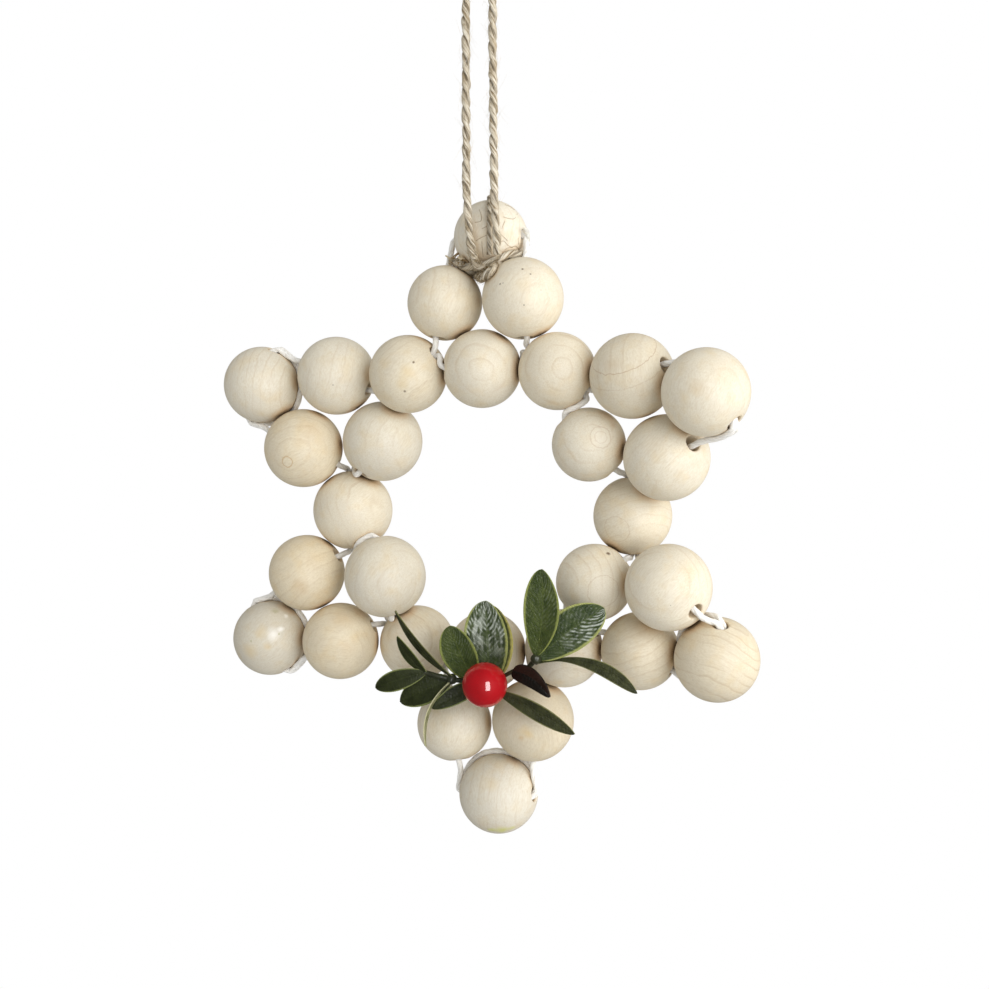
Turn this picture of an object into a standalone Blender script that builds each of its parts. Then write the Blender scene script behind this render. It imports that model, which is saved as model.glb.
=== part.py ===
"""A hanging star of thirty turned wooden beads.

The beads lie in a six-pointed star, held by white cotton string that runs through their bores.
A sprig of moulded leaves with one red berry sits low on the front, and a loop of jute twine,
hitched round the neck of the top bead, hangs the star from a hook.

Metres, +Z up. The star hangs in the XZ plane and faces -Y. The origin is at the inner top of
the twine loop, where the hook bears.
"""
import math

import bpy
import numpy as np
from mathutils import Vector

MM = 0.001

# Driving dimensions: beads and string.
BEAD = 20.0 * MM           # nominal diameter of a turned bead
BEAD_SPACING = 0.6 * MM    # room between nominal beads in the regular star
BEAD_GAP = 0.4 * MM        # least room left between two neighbours
STRING = 1.2 * MM          # cotton string, diameter
BORE_ROOM = 0.5 * MM       # room round each of the two strings in a bore
STRING_ROOM = 0.4 * MM     # room between a string and the bead that it lies on

# Driving dimensions: twine.
TWINE = 2.2 * MM           # jute twine, diameter
TWINE_ROOM = 0.3 * MM      # room between the twine and what it touches
HANG = 146.0 * MM          # height of the hook over the middle of the star
LOOP_WIDTH = 8.6 * MM      # width of the loop's round top, between the strands' middles
FOOT_OVER_HITCH = (1.6 * MM, 2.4 * MM) # height of the strands' ends over the hitch's front
PLY = 1.3 * MM             # single ply of the twine that goes over the top bead, diameter
OVER_ASIDE = -0.3 * MM     # how far to the side of that bead's middle the ply goes over it
OVER_TURN = 21.5           # degrees that the ply is turned to the right
OVER_STOP = 1.3            # how far short of the hitch it stops, in diameters of twine
ROUND_TOP = (0, 30, 60)    # degrees up the loop's round top where it has points of its own

# Driving dimensions: sprig.
BERRY = 11.2 * MM          # berry diameter
BERRY_ROOM = 0.4 * MM      # room between the berry and the hub behind it
LEAF_THICK = 0.6 * MM      # thickness of a moulded leaf
STEM = 1.3 * MM            # diameter of a sprig's wire stem
HUB = 2.8 * MM             # diameter of the moulded hub that leaves grow from
PETIOLE = 1.1 * MM         # width of a leaf where it grows from the hub

# Fineness of the facets.
BEAD_SIDES = 12            # facets round a bead's bore
BEAD_ARC_STEPS = 5         # facets from one bore mouth to the other
HUG_STEP = math.radians(24)
NOTCH_STEP = math.radians(60)
HITCH_RUNS = 6             # runs of the hitch half round a notch

# Proportions that follow from the sizes above.
BORE = 2 * STRING + 3 * BORE_ROOM
LANE = (BORE - STRING) / 2 - STRING_ROOM
STRING_REACH = STRING / 2 + STRING_ROOM
TWINE_REACH = TWINE / 2 + TWINE_ROOM
OVER_TWINE = TWINE_REACH + STRING_REACH
PITCH = BEAD + BEAD_SPACING
SHARE = BEAD / 20          # a twentieth of a bead, the unit of the layout below
STAR_MIDDLE = np.array([1.0 * SHARE, 0.0, -HANG])
TIE_LEAN = math.radians(62)    # where a tie goes behind the touching place of tip and shoulder
FRONT = np.array([0.0, -1.0, 0.0])
BACK = -FRONT

# The star's six points: name and direction from the middle, in degrees.
POINTS = {
    "top": 90,
    "upper_left": 150,
    "lower_left": 210,
    "bottom": 270,
    "lower_right": 330,
    "upper_right": 30,
}
HITCHED = "top"            # the point that the twine holds, so that it needs no tie of string
# The six inner corners between the points.
CORNERS = {
    "right": 0,
    "top_right": 60,
    "top_left": 120,
    "left": 180,
    "bottom_left": 240,
    "bottom_right": 300,
}

# How far each bead strays from the regular star, because string gives: to the right, up and to
# the back, and its own diameter over the nominal one, all in twentieths of a bead.
STRAY = {
    "tip_top": (0.9, -1.1, 4.0, -1.4),
    "shoulder_top_ccw": (-0.3, 0.8, 0.0, -1.0),
    "shoulder_top_cw": (0.8, 1.1, -0.5, 0.3),
    "tip_upper_left": (-2.0, -2.5, -2.0, 0.3),
    "shoulder_upper_left_cw": (-1.0, 0.0, 0.0, 0.5),
    "shoulder_upper_left_ccw": (0.8, -2.6, -1.0, 0.8),
    "corner_top_left": (2.0, -1.0, -1.2, 0.0),
    "side_top": (0.0, 1.5, -0.5, -0.2),
    "corner_top_right": (-1.2, 2.1, 0.0, -0.7),
    "tip_upper_right": (-4.2, -4.8, -7.5, 0.7),
    "shoulder_upper_right_ccw": (-3.7, -1.3, -1.8, 0.6),
    "shoulder_upper_right_cw": (-3.2, -1.7, 0.0, 1.0),
    "side_upper_left": (0.5, 0.0, 2.6, 1.0),
    "side_upper_right": (-2.1, 1.9, 1.0, -1.7),
    "corner_left": (3.0, -0.6, 3.4, 1.2),
    "corner_right": (-4.4, -1.4, 7.0, -0.3),
    "tip_lower_left": (-0.5, -0.5, -2.0, 0.2),
    "shoulder_lower_left_cw": (0.5, 0.5, -1.0, 0.3),
    "shoulder_lower_left_ccw": (0.5, 0.0, -1.0, 0.3),
    "side_lower_left": (2.4, 0.1, 0.5, 1.4),
    "side_lower_right": (2.0, 4.1, 0.8, -0.9),
    "corner_bottom_left": (-2.6, 2.6, 5.0, -0.1),
    "side_bottom": (1.0, 0.2, 0.0, 0.0),
    "corner_bottom_right": (0.9, 2.2, 2.0, -0.3),
    "tip_lower_right": (-1.2, 4.3, -1.8, 0.5),
    "shoulder_lower_right_ccw": (-1.8, 1.3, -4.5, 0.9),
    "shoulder_lower_right_cw": (0.3, 2.8, 2.0, -0.7),
    "shoulder_bottom_cw": (2.3, -1.9, -0.5, -0.7),
    "shoulder_bottom_ccw": (3.1, 0.6, 1.0, 0.9),
    "tip_bottom": (4.5, -1.5, -0.5, 0.3),
}

# The hanging loop's two strands, in twentieths of a bead: low from the top bead's middle, where
# the first height is worked out, and high from the hook.
LEFT_LOW = ((-0.6, -10.0, 0.0), (-1.2, -11.0, -1.0), (-1.9, -11.2, 7.7))
LEFT_HIGH = ((-1.6, -4.8, -43.8), (-2.7, -2.1, -21.9), (-3.6, -0.4, -10.0))
RIGHT_LOW = ((6.2, -11.0, 0.0), (6.2, -11.8, -1.0), (5.8, -12.0, 7.7))
RIGHT_HIGH = ((5.9, -5.4, -43.8), (4.5, -2.4, -21.9), (3.8, -0.4, -10.0))

# Which way a bore points where that shows: its turn in the star's plane from the tight string's
# line, and its lean to the front, in degrees.
TIGHT_TIP = (0, 0)
TIGHT_SIDE = (0, 24)
BORE_TURNS = {
    "tip_lower_right": (20, 21),
    "tip_upper_right": (24, -9),
    "side_lower_right": (-24, -6),
    "side_upper_left": (0, 32),
    "side_upper_right": (18, 0),
    "side_lower_left": (-14, 6),
    "side_bottom": (0, -32),
}

# Leaves, each from base to tip: right of, in depth from (the front is negative) and above the
# star's middle, then width, roll in degrees, bow to the front and sway in the leaf's own plane.
# All lengths are in twentieths of a bead, and each base lies in the hub or stem it grows from.
# The last two values shape the outline: how pointed it is, where 0.5 is an ellipse and 1 a lens
# with two sharp ends, and its belly, which sets the widest place nearer the base under 1 and
# nearer the tip over 1.
LEFT_LEAVES = {
    "long_narrow": ((-3.6, -12.5, -40.0), (-17.6, -16.0, -23.6), 3.8, -34, 0.6, -1.2, 0.7, 1.0),
    "short_narrow": ((-10.2, -13.0, -39.7), (-17.3, -15.6, -30.2), 4.2, -22, 0.4, -0.3, 0.65, 1.0),
    "round_end": ((-10.4, -13.0, -39.4), (-24.5, -13.6, -44.5), 5.4, -4, 0.8, 0.4, 0.55, 1.1),
    "broad_dark": ((-3.6, -11.9, -40.9), (-18.1, -12.3, -47.9), 7.6, 10, 0.6, 0.2, 0.6, 1.0),
    "curled": ((-3.9, -13.0, -41.5), (-10.0, -14.6, -58.2), 4.6, 74, 2.2, 0.4, 0.8, 0.85),
    "broad_upright": ((5.8, -10.2, -41.8), (6.1, -13.6, -20.0), 11.8, 0, -0.2, 0.0, 0.5, 1.15),
    "behind_upright": ((5.6, -9.9, -41.8), (7.1, -12.2, -21.2), 11.4, 6, -0.2, 0.5, 0.5, 1.1),
    "small_upright": ((1.6, -10.6, -41.2), (-4.0, -13.0, -27.1), 10.2, -6, 0.2, 0.0, 0.5, 1.1),
    "low_left": ((3.6, -10.3, -41.6), (-8.4, -14.0, -48.4), 4.8, 4, 0.1, 0.2, 0.6, 0.9),
    "low_right": ((6.9, -10.5, -42.9), (29.3, -13.0, -51.6), 4.7, 6, 0.8, -0.9, 0.6, 1.25),
}
RIGHT_LEAVES = {
    "upright": ((19.0, -12.6, -33.2), (21.4, -15.0, -11.1), 9.6, -4, 0.4, 1.2, 0.55, 1.2),
    "broad_slanted": ((19.4, -12.2, -33.9), (36.9, -14.0, -19.8), 10.4, 4, 0.2, -0.8, 0.5, 1.25),
    "arched": ((19.6, -12.2, -34.6), (45.3, -14.2, -39.8), 3.5, -14, 1.0, -3.3, 0.6, 2.1),
}
MAROON_LEAF = ((13.4, -13.6, -36.9), (23.7, -15.2, -42.3), 5.3, 8, 0.4, -1.7, 0.5, 0.65)

# Stems, from the hollow between three beads to their far end, in the same twentieths, and the
# hubs on them by their place in that order.
LEFT_STEM = ((3.6, -7.6, -47.0), (6.3, -9.8, -42.6), (1.2, -11.0, -41.4), (-3.8, -12.1, -40.9),
             (-7.2, -12.9, -40.2), (-10.6, -13.1, -39.5))
LEFT_HUBS = (1, 3)
RIGHT_STEM = ((14.6, -9.6, -38.4), (19.0, -12.2, -33.8))
RIGHT_HUBS = (1,)
STEM_FOOT_DEPTH = -3.5
BERRY_OVER_HUB = (1.0, 2.3)


def unit(vector):
    """The vector at length one."""
    return np.asarray(vector, float) / np.linalg.norm(vector)


def ray(degrees):
    """A unit vector in the star's plane, at an angle from +X."""
    angle = math.radians(degrees)
    return np.array([math.cos(angle), 0.0, math.sin(angle)])


def laid_out(place):
    """A point given in twentieths of a bead from the star's middle, in metres."""
    return STAR_MIDDLE + np.array(place) * SHARE


class Bead:
    """One bead: its middle, radius and the direction of its bore."""

    def __init__(self, name, regular):
        right, up, back, oversize = STRAY[name]
        self.name = name
        self.centre = STAR_MIDDLE + regular * PITCH + np.array([right, back, up]) * SHARE
        self.radius = (BEAD + oversize * SHARE) / 2
        self.bore = FRONT

    def mouth(self, towards):
        """Where the bore opens, on the side that faces a point."""
        way = math.copysign(1.0, np.dot(self.bore, towards - self.centre))
        return self.centre + self.bore * way * self.radius


def regular_star():
    """Every bead at its place in the star, in order round it.

    The places are a triangular grid: a tip is 2 root 3 beads out from the middle, the two
    shoulders one bead in from it, a side root 3 beads out and an inner corner 2 beads out.
    """
    beads = {}
    for point, angle in POINTS.items():
        tip = ray(angle) * 2 * math.sqrt(3)
        places = {
            "tip": tip,
            "side": ray(angle) * math.sqrt(3),
            "shoulder_ccw": tip - ray(angle - 30),
            "shoulder_cw": tip - ray(angle + 30),
        }
        for kind, place in places.items():
            kind, _, turn = kind.partition("_")
            name = "_".join(word for word in (kind, point, turn) if word)
            beads[name] = Bead(name, place)
    for corner, angle in CORNERS.items():
        name = f"corner_{corner}"
        beads[name] = Bead(name, ray(angle) * 2)
    return beads


def settle(beads, rounds=80):
    """Push apart the beads that lie closer than the least gap, a little at a time."""
    names = list(beads)
    for _ in range(rounds):
        for i, first in enumerate(names):
            for second in names[i + 1:]:
                a = beads[first]
                b = beads[second]
                apart = b.centre - a.centre
                short = a.radius + b.radius + BEAD_GAP - np.linalg.norm(apart)
                if short > 0:
                    step = unit(apart) * short * 0.55
                    a.centre = a.centre - step
                    b.centre = b.centre + step


def star_rings():
    """The beads' names along the inner ring, and along the outer line of the star."""
    points = list(POINTS)
    corners = ["top_left", "left", "bottom_left", "bottom_right", "right", "top_right"]
    ring = []
    outline = []
    for point, corner in zip(points, corners):
        ring += [f"side_{point}", f"corner_{corner}"]
        outline += [f"shoulder_{point}_cw", f"tip_{point}", f"shoulder_{point}_ccw",
                    f"corner_{corner}"]
    return ring, outline


def leaning(along, turn, lean):
    """A direction turned in the star's plane and leant to the front, by angles in degrees."""
    turned = along * math.cos(math.radians(turn))
    turned = turned + np.cross(FRONT, along) * math.sin(math.radians(turn))
    return unit(turned * math.cos(math.radians(lean)) + FRONT * math.sin(math.radians(lean)))


def aim_bores(beads, ring, outline):
    """Turn each bore the way the tight string turns it.

    A tip's bore lies across its point and a corner's halves the bend, a side's leans a little
    out of the star's plane, and a shoulder's joins the mouths before and after it.
    """
    for point in POINTS:
        tip = beads[f"tip_{point}"]
        inward = (beads[f"shoulder_{point}_ccw"].centre
                  + beads[f"shoulder_{point}_cw"].centre) / 2 - tip.centre
        tip.bore = leaning(unit(np.cross(inward, FRONT)), *BORE_TURNS.get(tip.name, TIGHT_TIP))
    for k, name in enumerate(ring):
        before = beads[ring[k - 1]].centre
        after = beads[ring[(k + 1) % len(ring)]].centre
        along = unit(after - before)
        if name.startswith("corner"):
            beads[name].bore = along
        else:
            beads[name].bore = leaning(along, *BORE_TURNS.get(name, TIGHT_SIDE))
    for k, name in enumerate(outline):
        if name.startswith("shoulder"):
            before = beads[outline[k - 1]]
            after = beads[outline[(k + 1) % len(outline)]]
            centre = beads[name].centre
            start = before.mouth(centre) + outline_lane(before)
            end = after.mouth(centre) + outline_lane(after)
            beads[name].bore = unit(end - start)


def notch(a, b, room):
    """The ring of points that lie the given room off both of two beads.

    Two balls grown by the room cut each other in a circle. Its middle lies on the line of
    centres, at (d^2 + ra^2 - rb^2) / 2d from the first, and Pythagoras gives its radius, which
    is never less than two strings, so that two strings go round a loose joint side by side.
    """
    reach_a = a.radius + room
    reach_b = b.radius + room
    apart = b.centre - a.centre
    far = np.linalg.norm(apart)
    along = (far ** 2 + reach_a ** 2 - reach_b ** 2) / (2 * far)
    radius = math.sqrt(max(reach_a ** 2 - along ** 2, (2 * STRING) ** 2))
    return a.centre + apart / far * along, apart / far, radius


def across(vector, axis):
    """The part of a vector square to an axis, at length one."""
    return unit(vector - axis * np.dot(vector, axis))


def string_notch(a, b):
    """The ring that a string keeps to in a notch: over the hitch, where one lies in it."""
    if "tip_top" in (a.name, b.name):
        middle, axis, radius = notch(a, b, TWINE_REACH)
        return middle, axis, radius + OVER_TWINE
    return notch(a, b, STRING_REACH)


def round_notch(a, b, start, end, via=None):
    """A string's points round the notch of two beads, from one direction to another.

    The short way, or the way past a third direction. The radius is let out so that the
    straight runs between the points stay clear of the beads too.
    """
    middle, axis, radius = string_notch(a, b)
    first = across(start, axis)
    second = np.cross(axis, first)
    turn = math.atan2(np.dot(end, second), np.dot(end, first))
    if via is not None and math.copysign(1, np.dot(via, second)) != math.copysign(1, turn):
        turn -= math.copysign(2 * math.pi, turn)
    runs = max(1, math.ceil(abs(turn) / NOTCH_STEP))
    angles = np.linspace(0, turn, runs + 1)
    let_out = radius / math.cos(turn / runs / 2)
    return [middle + (first * math.cos(t) + second * math.sin(t)) * let_out for t in angles]


def hug(bead, start, end):
    """A string's points over a bead between two places, a little off its surface."""
    first = unit(start - bead.centre)
    last = unit(end - bead.centre)
    turn = math.acos(max(-1.0, min(1.0, float(np.dot(first, last)))))
    runs = math.ceil(turn / HUG_STEP)
    reach = (bead.radius + STRING_REACH) / math.cos(turn / max(runs, 1) / 2)
    points = []
    for k in range(1, runs):
        share = k / runs
        way = first * math.sin((1 - share) * turn) + last * math.sin(share * turn)
        points.append(bead.centre + unit(way) * reach)
    return points


def through(bead, before, lane):
    """Where a string enters and leaves a bead, at its own lane in the bore.

    Both places lie as far out as the string then lies off the bead that it hugs.
    """
    way = bead.bore * math.copysign(1.0, np.dot(bead.bore, bead.centre - before))
    reach = way * (bead.radius + STRING_REACH) / math.cos(HUG_STEP / 2)
    return bead.centre - reach + lane, bead.centre + reach + lane


def joint(a, b, leave, enter):
    """A string's points from the bore mouth of one bead to that of the next."""
    middle, axis, _ = string_notch(a, b)
    ring = round_notch(a, b, leave - middle, across(enter - middle, axis))
    return hug(a, leave, ring[0]) + ring + hug(b, ring[-1], enter)


def closed_string(beads, order, lane_of):
    """The whole path of a string that runs through a ring of beads and closes on itself."""
    ends = []
    for k, name in enumerate(order):
        bead = beads[name]
        ends.append(through(bead, beads[order[k - 1]].centre, lane_of(bead)))
    points = []
    for k, name in enumerate(order):
        following = (k + 1) % len(order)
        enter, leave = ends[k]
        points += [enter, leave]
        points += joint(beads[name], beads[order[following]], leave, ends[following][0])
    return points


def ring_lane(bead):
    """The inner ring's string keeps to the inner side of a corner bead's bore."""
    if bead.name.startswith("corner"):
        return unit(STAR_MIDDLE - bead.centre) * LANE
    return np.zeros(3)


def outline_lane(bead):
    """The outer string keeps to the front of a tip's bore and the outer side of a corner's.

    It keeps to the outer side of the hitched point's shoulders too, so that it clears the hitch.
    """
    if bead.name.startswith(("corner", f"shoulder_{HITCHED}")):
        return across(bead.centre - STAR_MIDDLE, bead.bore) * LANE
    if bead.name.startswith("tip"):
        return across(FRONT, bead.bore) * LANE
    return np.zeros(3)


def tie_path(beads, point):
    """A loop that goes through a tip's bore, down both its sides and back between the three.

    On each side it hugs the tip, passes behind the place where tip and shoulder touch, and
    comes out in the hollow between tip and shoulders, where it shows as a small arch.
    """
    tip = beads[f"tip_{point}"]
    shoulders = [beads[f"shoulder_{point}_{turn}"] for turn in ("ccw", "cw")]
    lane = across(BACK, tip.bore) * LANE
    mouths = through(tip, tip.mouth(shoulders[1].centre), lane)[::-1]
    sides = []
    for shoulder, mouth in zip(shoulders, mouths):
        axis = unit(shoulder.centre - tip.centre)
        outer = across(mouth - tip.centre, axis)
        start = outer * math.cos(TIE_LEAN) + BACK * math.sin(TIE_LEAN)
        ring = round_notch(tip, shoulder, start, -outer, via=BACK)
        sides.append([mouth] + hug(tip, mouth, ring[0]) + ring)
    left, right = sides
    arch = (left[-1] + right[-1]) / 2
    arch = tip.centre + unit(arch - tip.centre) * (tip.radius + 2 * STRING_REACH)
    return left + [arch] + right[::-1]


def hitch_path(beads):
    """The twine pulled tight round the neck of the top bead, beneath the string.

    In each notch it goes from the front round the outside to the back. Also gives the middles of
    its front and its back.
    """
    tip = beads["tip_top"]
    halves = []
    for turn in ("ccw", "cw"):
        shoulder = beads[f"shoulder_top_{turn}"]
        axis = unit(shoulder.centre - tip.centre)
        outer = across(tip.mouth(shoulder.centre) - tip.centre, axis)
        points = []
        middle, _, reach = notch(tip, shoulder, TWINE_REACH)
        for angle in np.linspace(0, math.pi, HITCH_RUNS + 1):
            way = across(FRONT, axis) * math.cos(angle) + outer * math.sin(angle)
            points.append(middle + way * reach / math.cos(math.pi / HITCH_RUNS / 2))
        halves.append(points)
    left, right = halves
    ends = []
    for a, b in ((left[0], right[0]), (left[-1], right[-1])):
        middle = (a + b) / 2
        ends.append(tip.centre + unit(middle - tip.centre) * (tip.radius + TWINE_REACH))
    front, back = ends
    return left + [back] + right[::-1] + [front], front, back


def smooth_path(points, spacing):
    """Points at an even spacing along a smooth curve through the route's own points.

    A centripetal Catmull-Rom curve: each stretch is blended from the two points beside it and
    the two beyond, with knots at the square root of the distances.
    """
    route = [2 * points[0] - points[1], *points, 2 * points[-1] - points[-2]]
    fine = []
    for p0, p1, p2, p3 in zip(route, route[1:], route[2:], route[3:]):
        t1 = math.sqrt(np.linalg.norm(p1 - p0))
        t2 = t1 + math.sqrt(np.linalg.norm(p2 - p1))
        t3 = t2 + math.sqrt(np.linalg.norm(p3 - p2))
        for t in np.linspace(t1, t2, 12, endpoint=False):
            a1 = p0 * (t1 - t) / t1 + p1 * t / t1
            a2 = p1 * (t2 - t) / (t2 - t1) + p2 * (t - t1) / (t2 - t1)
            a3 = p2 * (t3 - t) / (t3 - t2) + p3 * (t - t2) / (t3 - t2)
            b1 = a1 * (t2 - t) / t2 + a2 * t / t2
            b2 = a2 * (t3 - t) / (t3 - t1) + a3 * (t - t1) / (t3 - t1)
            fine.append(b1 * (t2 - t) / (t2 - t1) + b2 * (t - t1) / (t2 - t1))
    fine = np.array(fine + [points[-1]])
    run = np.concatenate([[0], np.cumsum(np.linalg.norm(np.diff(fine, axis=0), axis=1))])
    marks = np.linspace(0, run[-1], max(2, round(run[-1] / spacing)) + 1)
    return np.stack([np.interp(marks, run, fine[:, k]) for k in range(3)], axis=1)


def loop_route(tip, front):
    """The hanging loop's own points: up one strand, round the hook and down the other.

    Each strand stands on the hitch, passes before the top bead and leans back to the hook.
    """
    half = LOOP_WIDTH / 2
    strands = []
    for side, low, high, foot in ((-1, LEFT_LOW, LEFT_HIGH, FOOT_OVER_HITCH[0]),
                                  (1, RIGHT_LOW, RIGHT_HIGH, FOOT_OVER_HITCH[1])):
        strand = [tip.centre + np.array(place) * SHARE for place in low]
        strand[0][2] = front[2] + foot
        strand += [np.array(place) * SHARE for place in high]
        for angle in np.radians(ROUND_TOP):
            drop = half * (1 - math.sin(angle))
            strand.append(np.array([side * half * math.cos(angle), 0.0, TWINE / 2 - drop]))
        strands.append(strand)
    left, right = strands
    return left + [np.array([0.0, 0.0, TWINE / 2])] + right[::-1]


def over_bead_route(tip, front, back):
    """A single ply from the hitch's front, slantwise over the top bead and down to its back."""
    turn = math.radians(OVER_TURN)
    before = np.array([math.sin(turn), -math.cos(turn), 0.0])
    aside = np.array([math.cos(turn), math.sin(turn), 0.0]) * OVER_ASIDE
    reach = math.sqrt((tip.radius + STRING_ROOM + PLY / 2) ** 2 - OVER_ASIDE ** 2)
    short = OVER_STOP * TWINE / reach
    first = short - math.acos(unit(front - tip.centre)[2])
    last = math.acos(unit(back - tip.centre)[2]) - short
    angles = np.linspace(first, last, 10)
    reach /= math.cos((last - first) / (len(angles) - 1) / 2)
    up = np.array([0.0, 0.0, 1.0])
    return [tip.centre + aside + (up * math.cos(a) - before * math.sin(a)) * reach
            for a in angles]


def material(name, colour, roughness, metallic=0.0):
    """A Principled BSDF with one colour."""
    made = bpy.data.materials.new(name)
    made.use_nodes = True
    shader = made.node_tree.nodes["Principled BSDF"]
    shader.inputs["Base Color"].default_value = (*colour, 1.0)
    shader.inputs["Roughness"].default_value = roughness
    shader.inputs["Metallic"].default_value = metallic
    return made


def mesh_object(name, vertices, faces, made_of, collection):
    """A mesh object in a collection, with one material."""
    mesh = bpy.data.meshes.new(name)
    mesh.from_pydata([tuple(v) for v in vertices], [], faces)
    mesh.validate()
    item = bpy.data.objects.new(name, mesh)
    item.data.materials.append(made_of)
    collection.objects.link(item)
    return item


def bead_object(bead, made_of, collection):
    """A turned bead: an arc from mouth to mouth and the bore's wall, spun round the bore."""
    opening = math.asin(BORE / 2 / bead.radius)
    angles = np.linspace(opening, math.pi - opening, BEAD_ARC_STEPS + 1)
    profile = [(bead.radius * math.sin(a), 0.0, bead.radius * math.cos(a)) for a in angles]
    mesh = bpy.data.meshes.new(bead.name)
    corners = len(profile)
    edges = [(k, (k + 1) % corners) for k in range(corners)]
    mesh.from_pydata(profile, edges, [])
    item = bpy.data.objects.new(bead.name, mesh)
    item.data.materials.append(made_of)
    collection.objects.link(item)
    item.location = Vector(bead.centre)
    item.rotation_mode = "QUATERNION"
    item.rotation_quaternion = Vector(bead.bore).to_track_quat("Z", "Y")
    spin = item.modifiers.new("turned", "SCREW")
    spin.axis = "Z"
    spin.angle = 2 * math.pi
    spin.steps = BEAD_SIDES
    spin.render_steps = BEAD_SIDES
    spin.use_merge_vertices = True
    spin.merge_threshold = 0.000001
    spin.use_smooth_shade = True
    return item


def tube(name, points, diameter, made_of, collection, closed=False, fineness=1):
    """A string, twine or wire: a poly curve with a round bevel and filled caps."""
    curve = bpy.data.curves.new(name, "CURVE")
    curve.dimensions = "3D"
    curve.bevel_depth = diameter / 2
    curve.bevel_resolution = fineness
    curve.use_fill_caps = not closed
    spline = curve.splines.new("POLY")
    spline.points.add(len(points) - 1)
    spline.points.foreach_set("co", np.insert(np.array(points), 3, 1.0, axis=1).ravel())
    spline.use_cyclic_u = closed
    item = bpy.data.objects.new(name, curve)
    item.data.materials.append(made_of)
    collection.objects.link(item)
    return item


def as_mesh(item, collection):
    """Make a curve object a mesh object, with its caps welded to its wall."""
    depsgraph = bpy.context.evaluated_depsgraph_get()
    mesh = bpy.data.meshes.new_from_object(item.evaluated_get(depsgraph))
    made = bpy.data.objects.new(item.name, mesh)
    made.matrix_world = item.matrix_world.copy()
    bpy.data.objects.remove(item)
    collection.objects.link(made)
    weld = made.modifiers.new("weld", "WELD")
    weld.merge_threshold = 0.000001
    return made


def leaf_object(name, leaf, made_of, collection, stations=6):
    """A moulded leaf: three rows of points from base to tip, folded at the midrib.

    Half the width follows sin(pi u^belly)^pointed from base to tip, never under the petiole's,
    at stations set closer together towards both ends. The bow lifts the middle to the front, the
    sway bends it sideways, and the roll turns the leaf about its own length.
    """
    base, tip, width, roll, bow, sway, pointed, belly = leaf
    start = laid_out(base)
    length = laid_out(tip) - start
    forward = unit(length)
    lift = across(FRONT, forward)
    sideways = np.cross(forward, lift)
    angle = math.radians(roll)
    normal = lift * math.cos(angle) + sideways * math.sin(angle)
    span = np.cross(forward, normal)
    vertices = []
    for k in range(stations + 1):
        u = (1 - math.cos(math.pi * k / stations)) / 2
        fullness = math.sin(math.pi * u ** belly) if 0 < k < stations else 0.0
        half = max(width * SHARE / 2 * fullness ** pointed, PETIOLE / 2)
        arch = 4 * u * (1 - u)
        spine = start + length * u + normal * bow * SHARE * arch + span * sway * SHARE * arch
        for v in (-1, 0, 1):
            vertices.append(spine + span * half * v + normal * half * 0.22 * abs(v))
    faces = []
    for k in range(stations):
        for v in (0, 1):
            a = 3 * k + v
            faces.append((a, a + 1, a + 4, a + 3))
    item = mesh_object(name, vertices, faces, made_of, collection)
    wall = item.modifiers.new("thickness", "SOLIDIFY")
    wall.thickness = LEAF_THICK
    wall.offset = 0.0
    return item


def ball(name, centre, diameter, made_of, collection, segments=10, rings=6):
    """A ball from a UV sphere, with its place in its location."""
    bpy.ops.mesh.primitive_uv_sphere_add(
        segments=segments, ring_count=rings, radius=diameter / 2, location=tuple(centre))
    item = bpy.context.object
    item.name = name
    item.data.name = name
    item.data.materials.append(made_of)
    item.data.shade_smooth()
    for holder in list(item.users_collection):
        holder.objects.unlink(item)
    collection.objects.link(item)
    return item


def spray(name, hollow, stem, hubs, leaves, made_of, collection, tools):
    """A moulded spray of leaves: a wire stem out of the hollow, its hubs, and their leaves.

    The stem is the body, and each hub and leaf is joined to it by a union.
    """
    foot = hollow + np.array([0.0, STEM_FOOT_DEPTH * SHARE, 0.0])
    points = [foot] + [laid_out(place) for place in stem]
    body = as_mesh(tube(name, points, STEM, made_of, collection), collection)
    body.name = name
    pieces = [ball(f"{name}_hub_{k}", laid_out(stem[k]), HUB, made_of, tools, segments=8, rings=5)
              for k in hubs]
    for leaf_name, leaf in leaves.items():
        pieces.append(leaf_object(f"{name}_{leaf_name}", leaf, made_of, tools))
    for piece in pieces:
        piece.hide_render = True
        piece.display_type = "WIRE"
        join = body.modifiers.new(piece.name, "BOOLEAN")
        join.operation = "UNION"
        join.solver = "EXACT"
        join.object = piece
    return body


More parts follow.
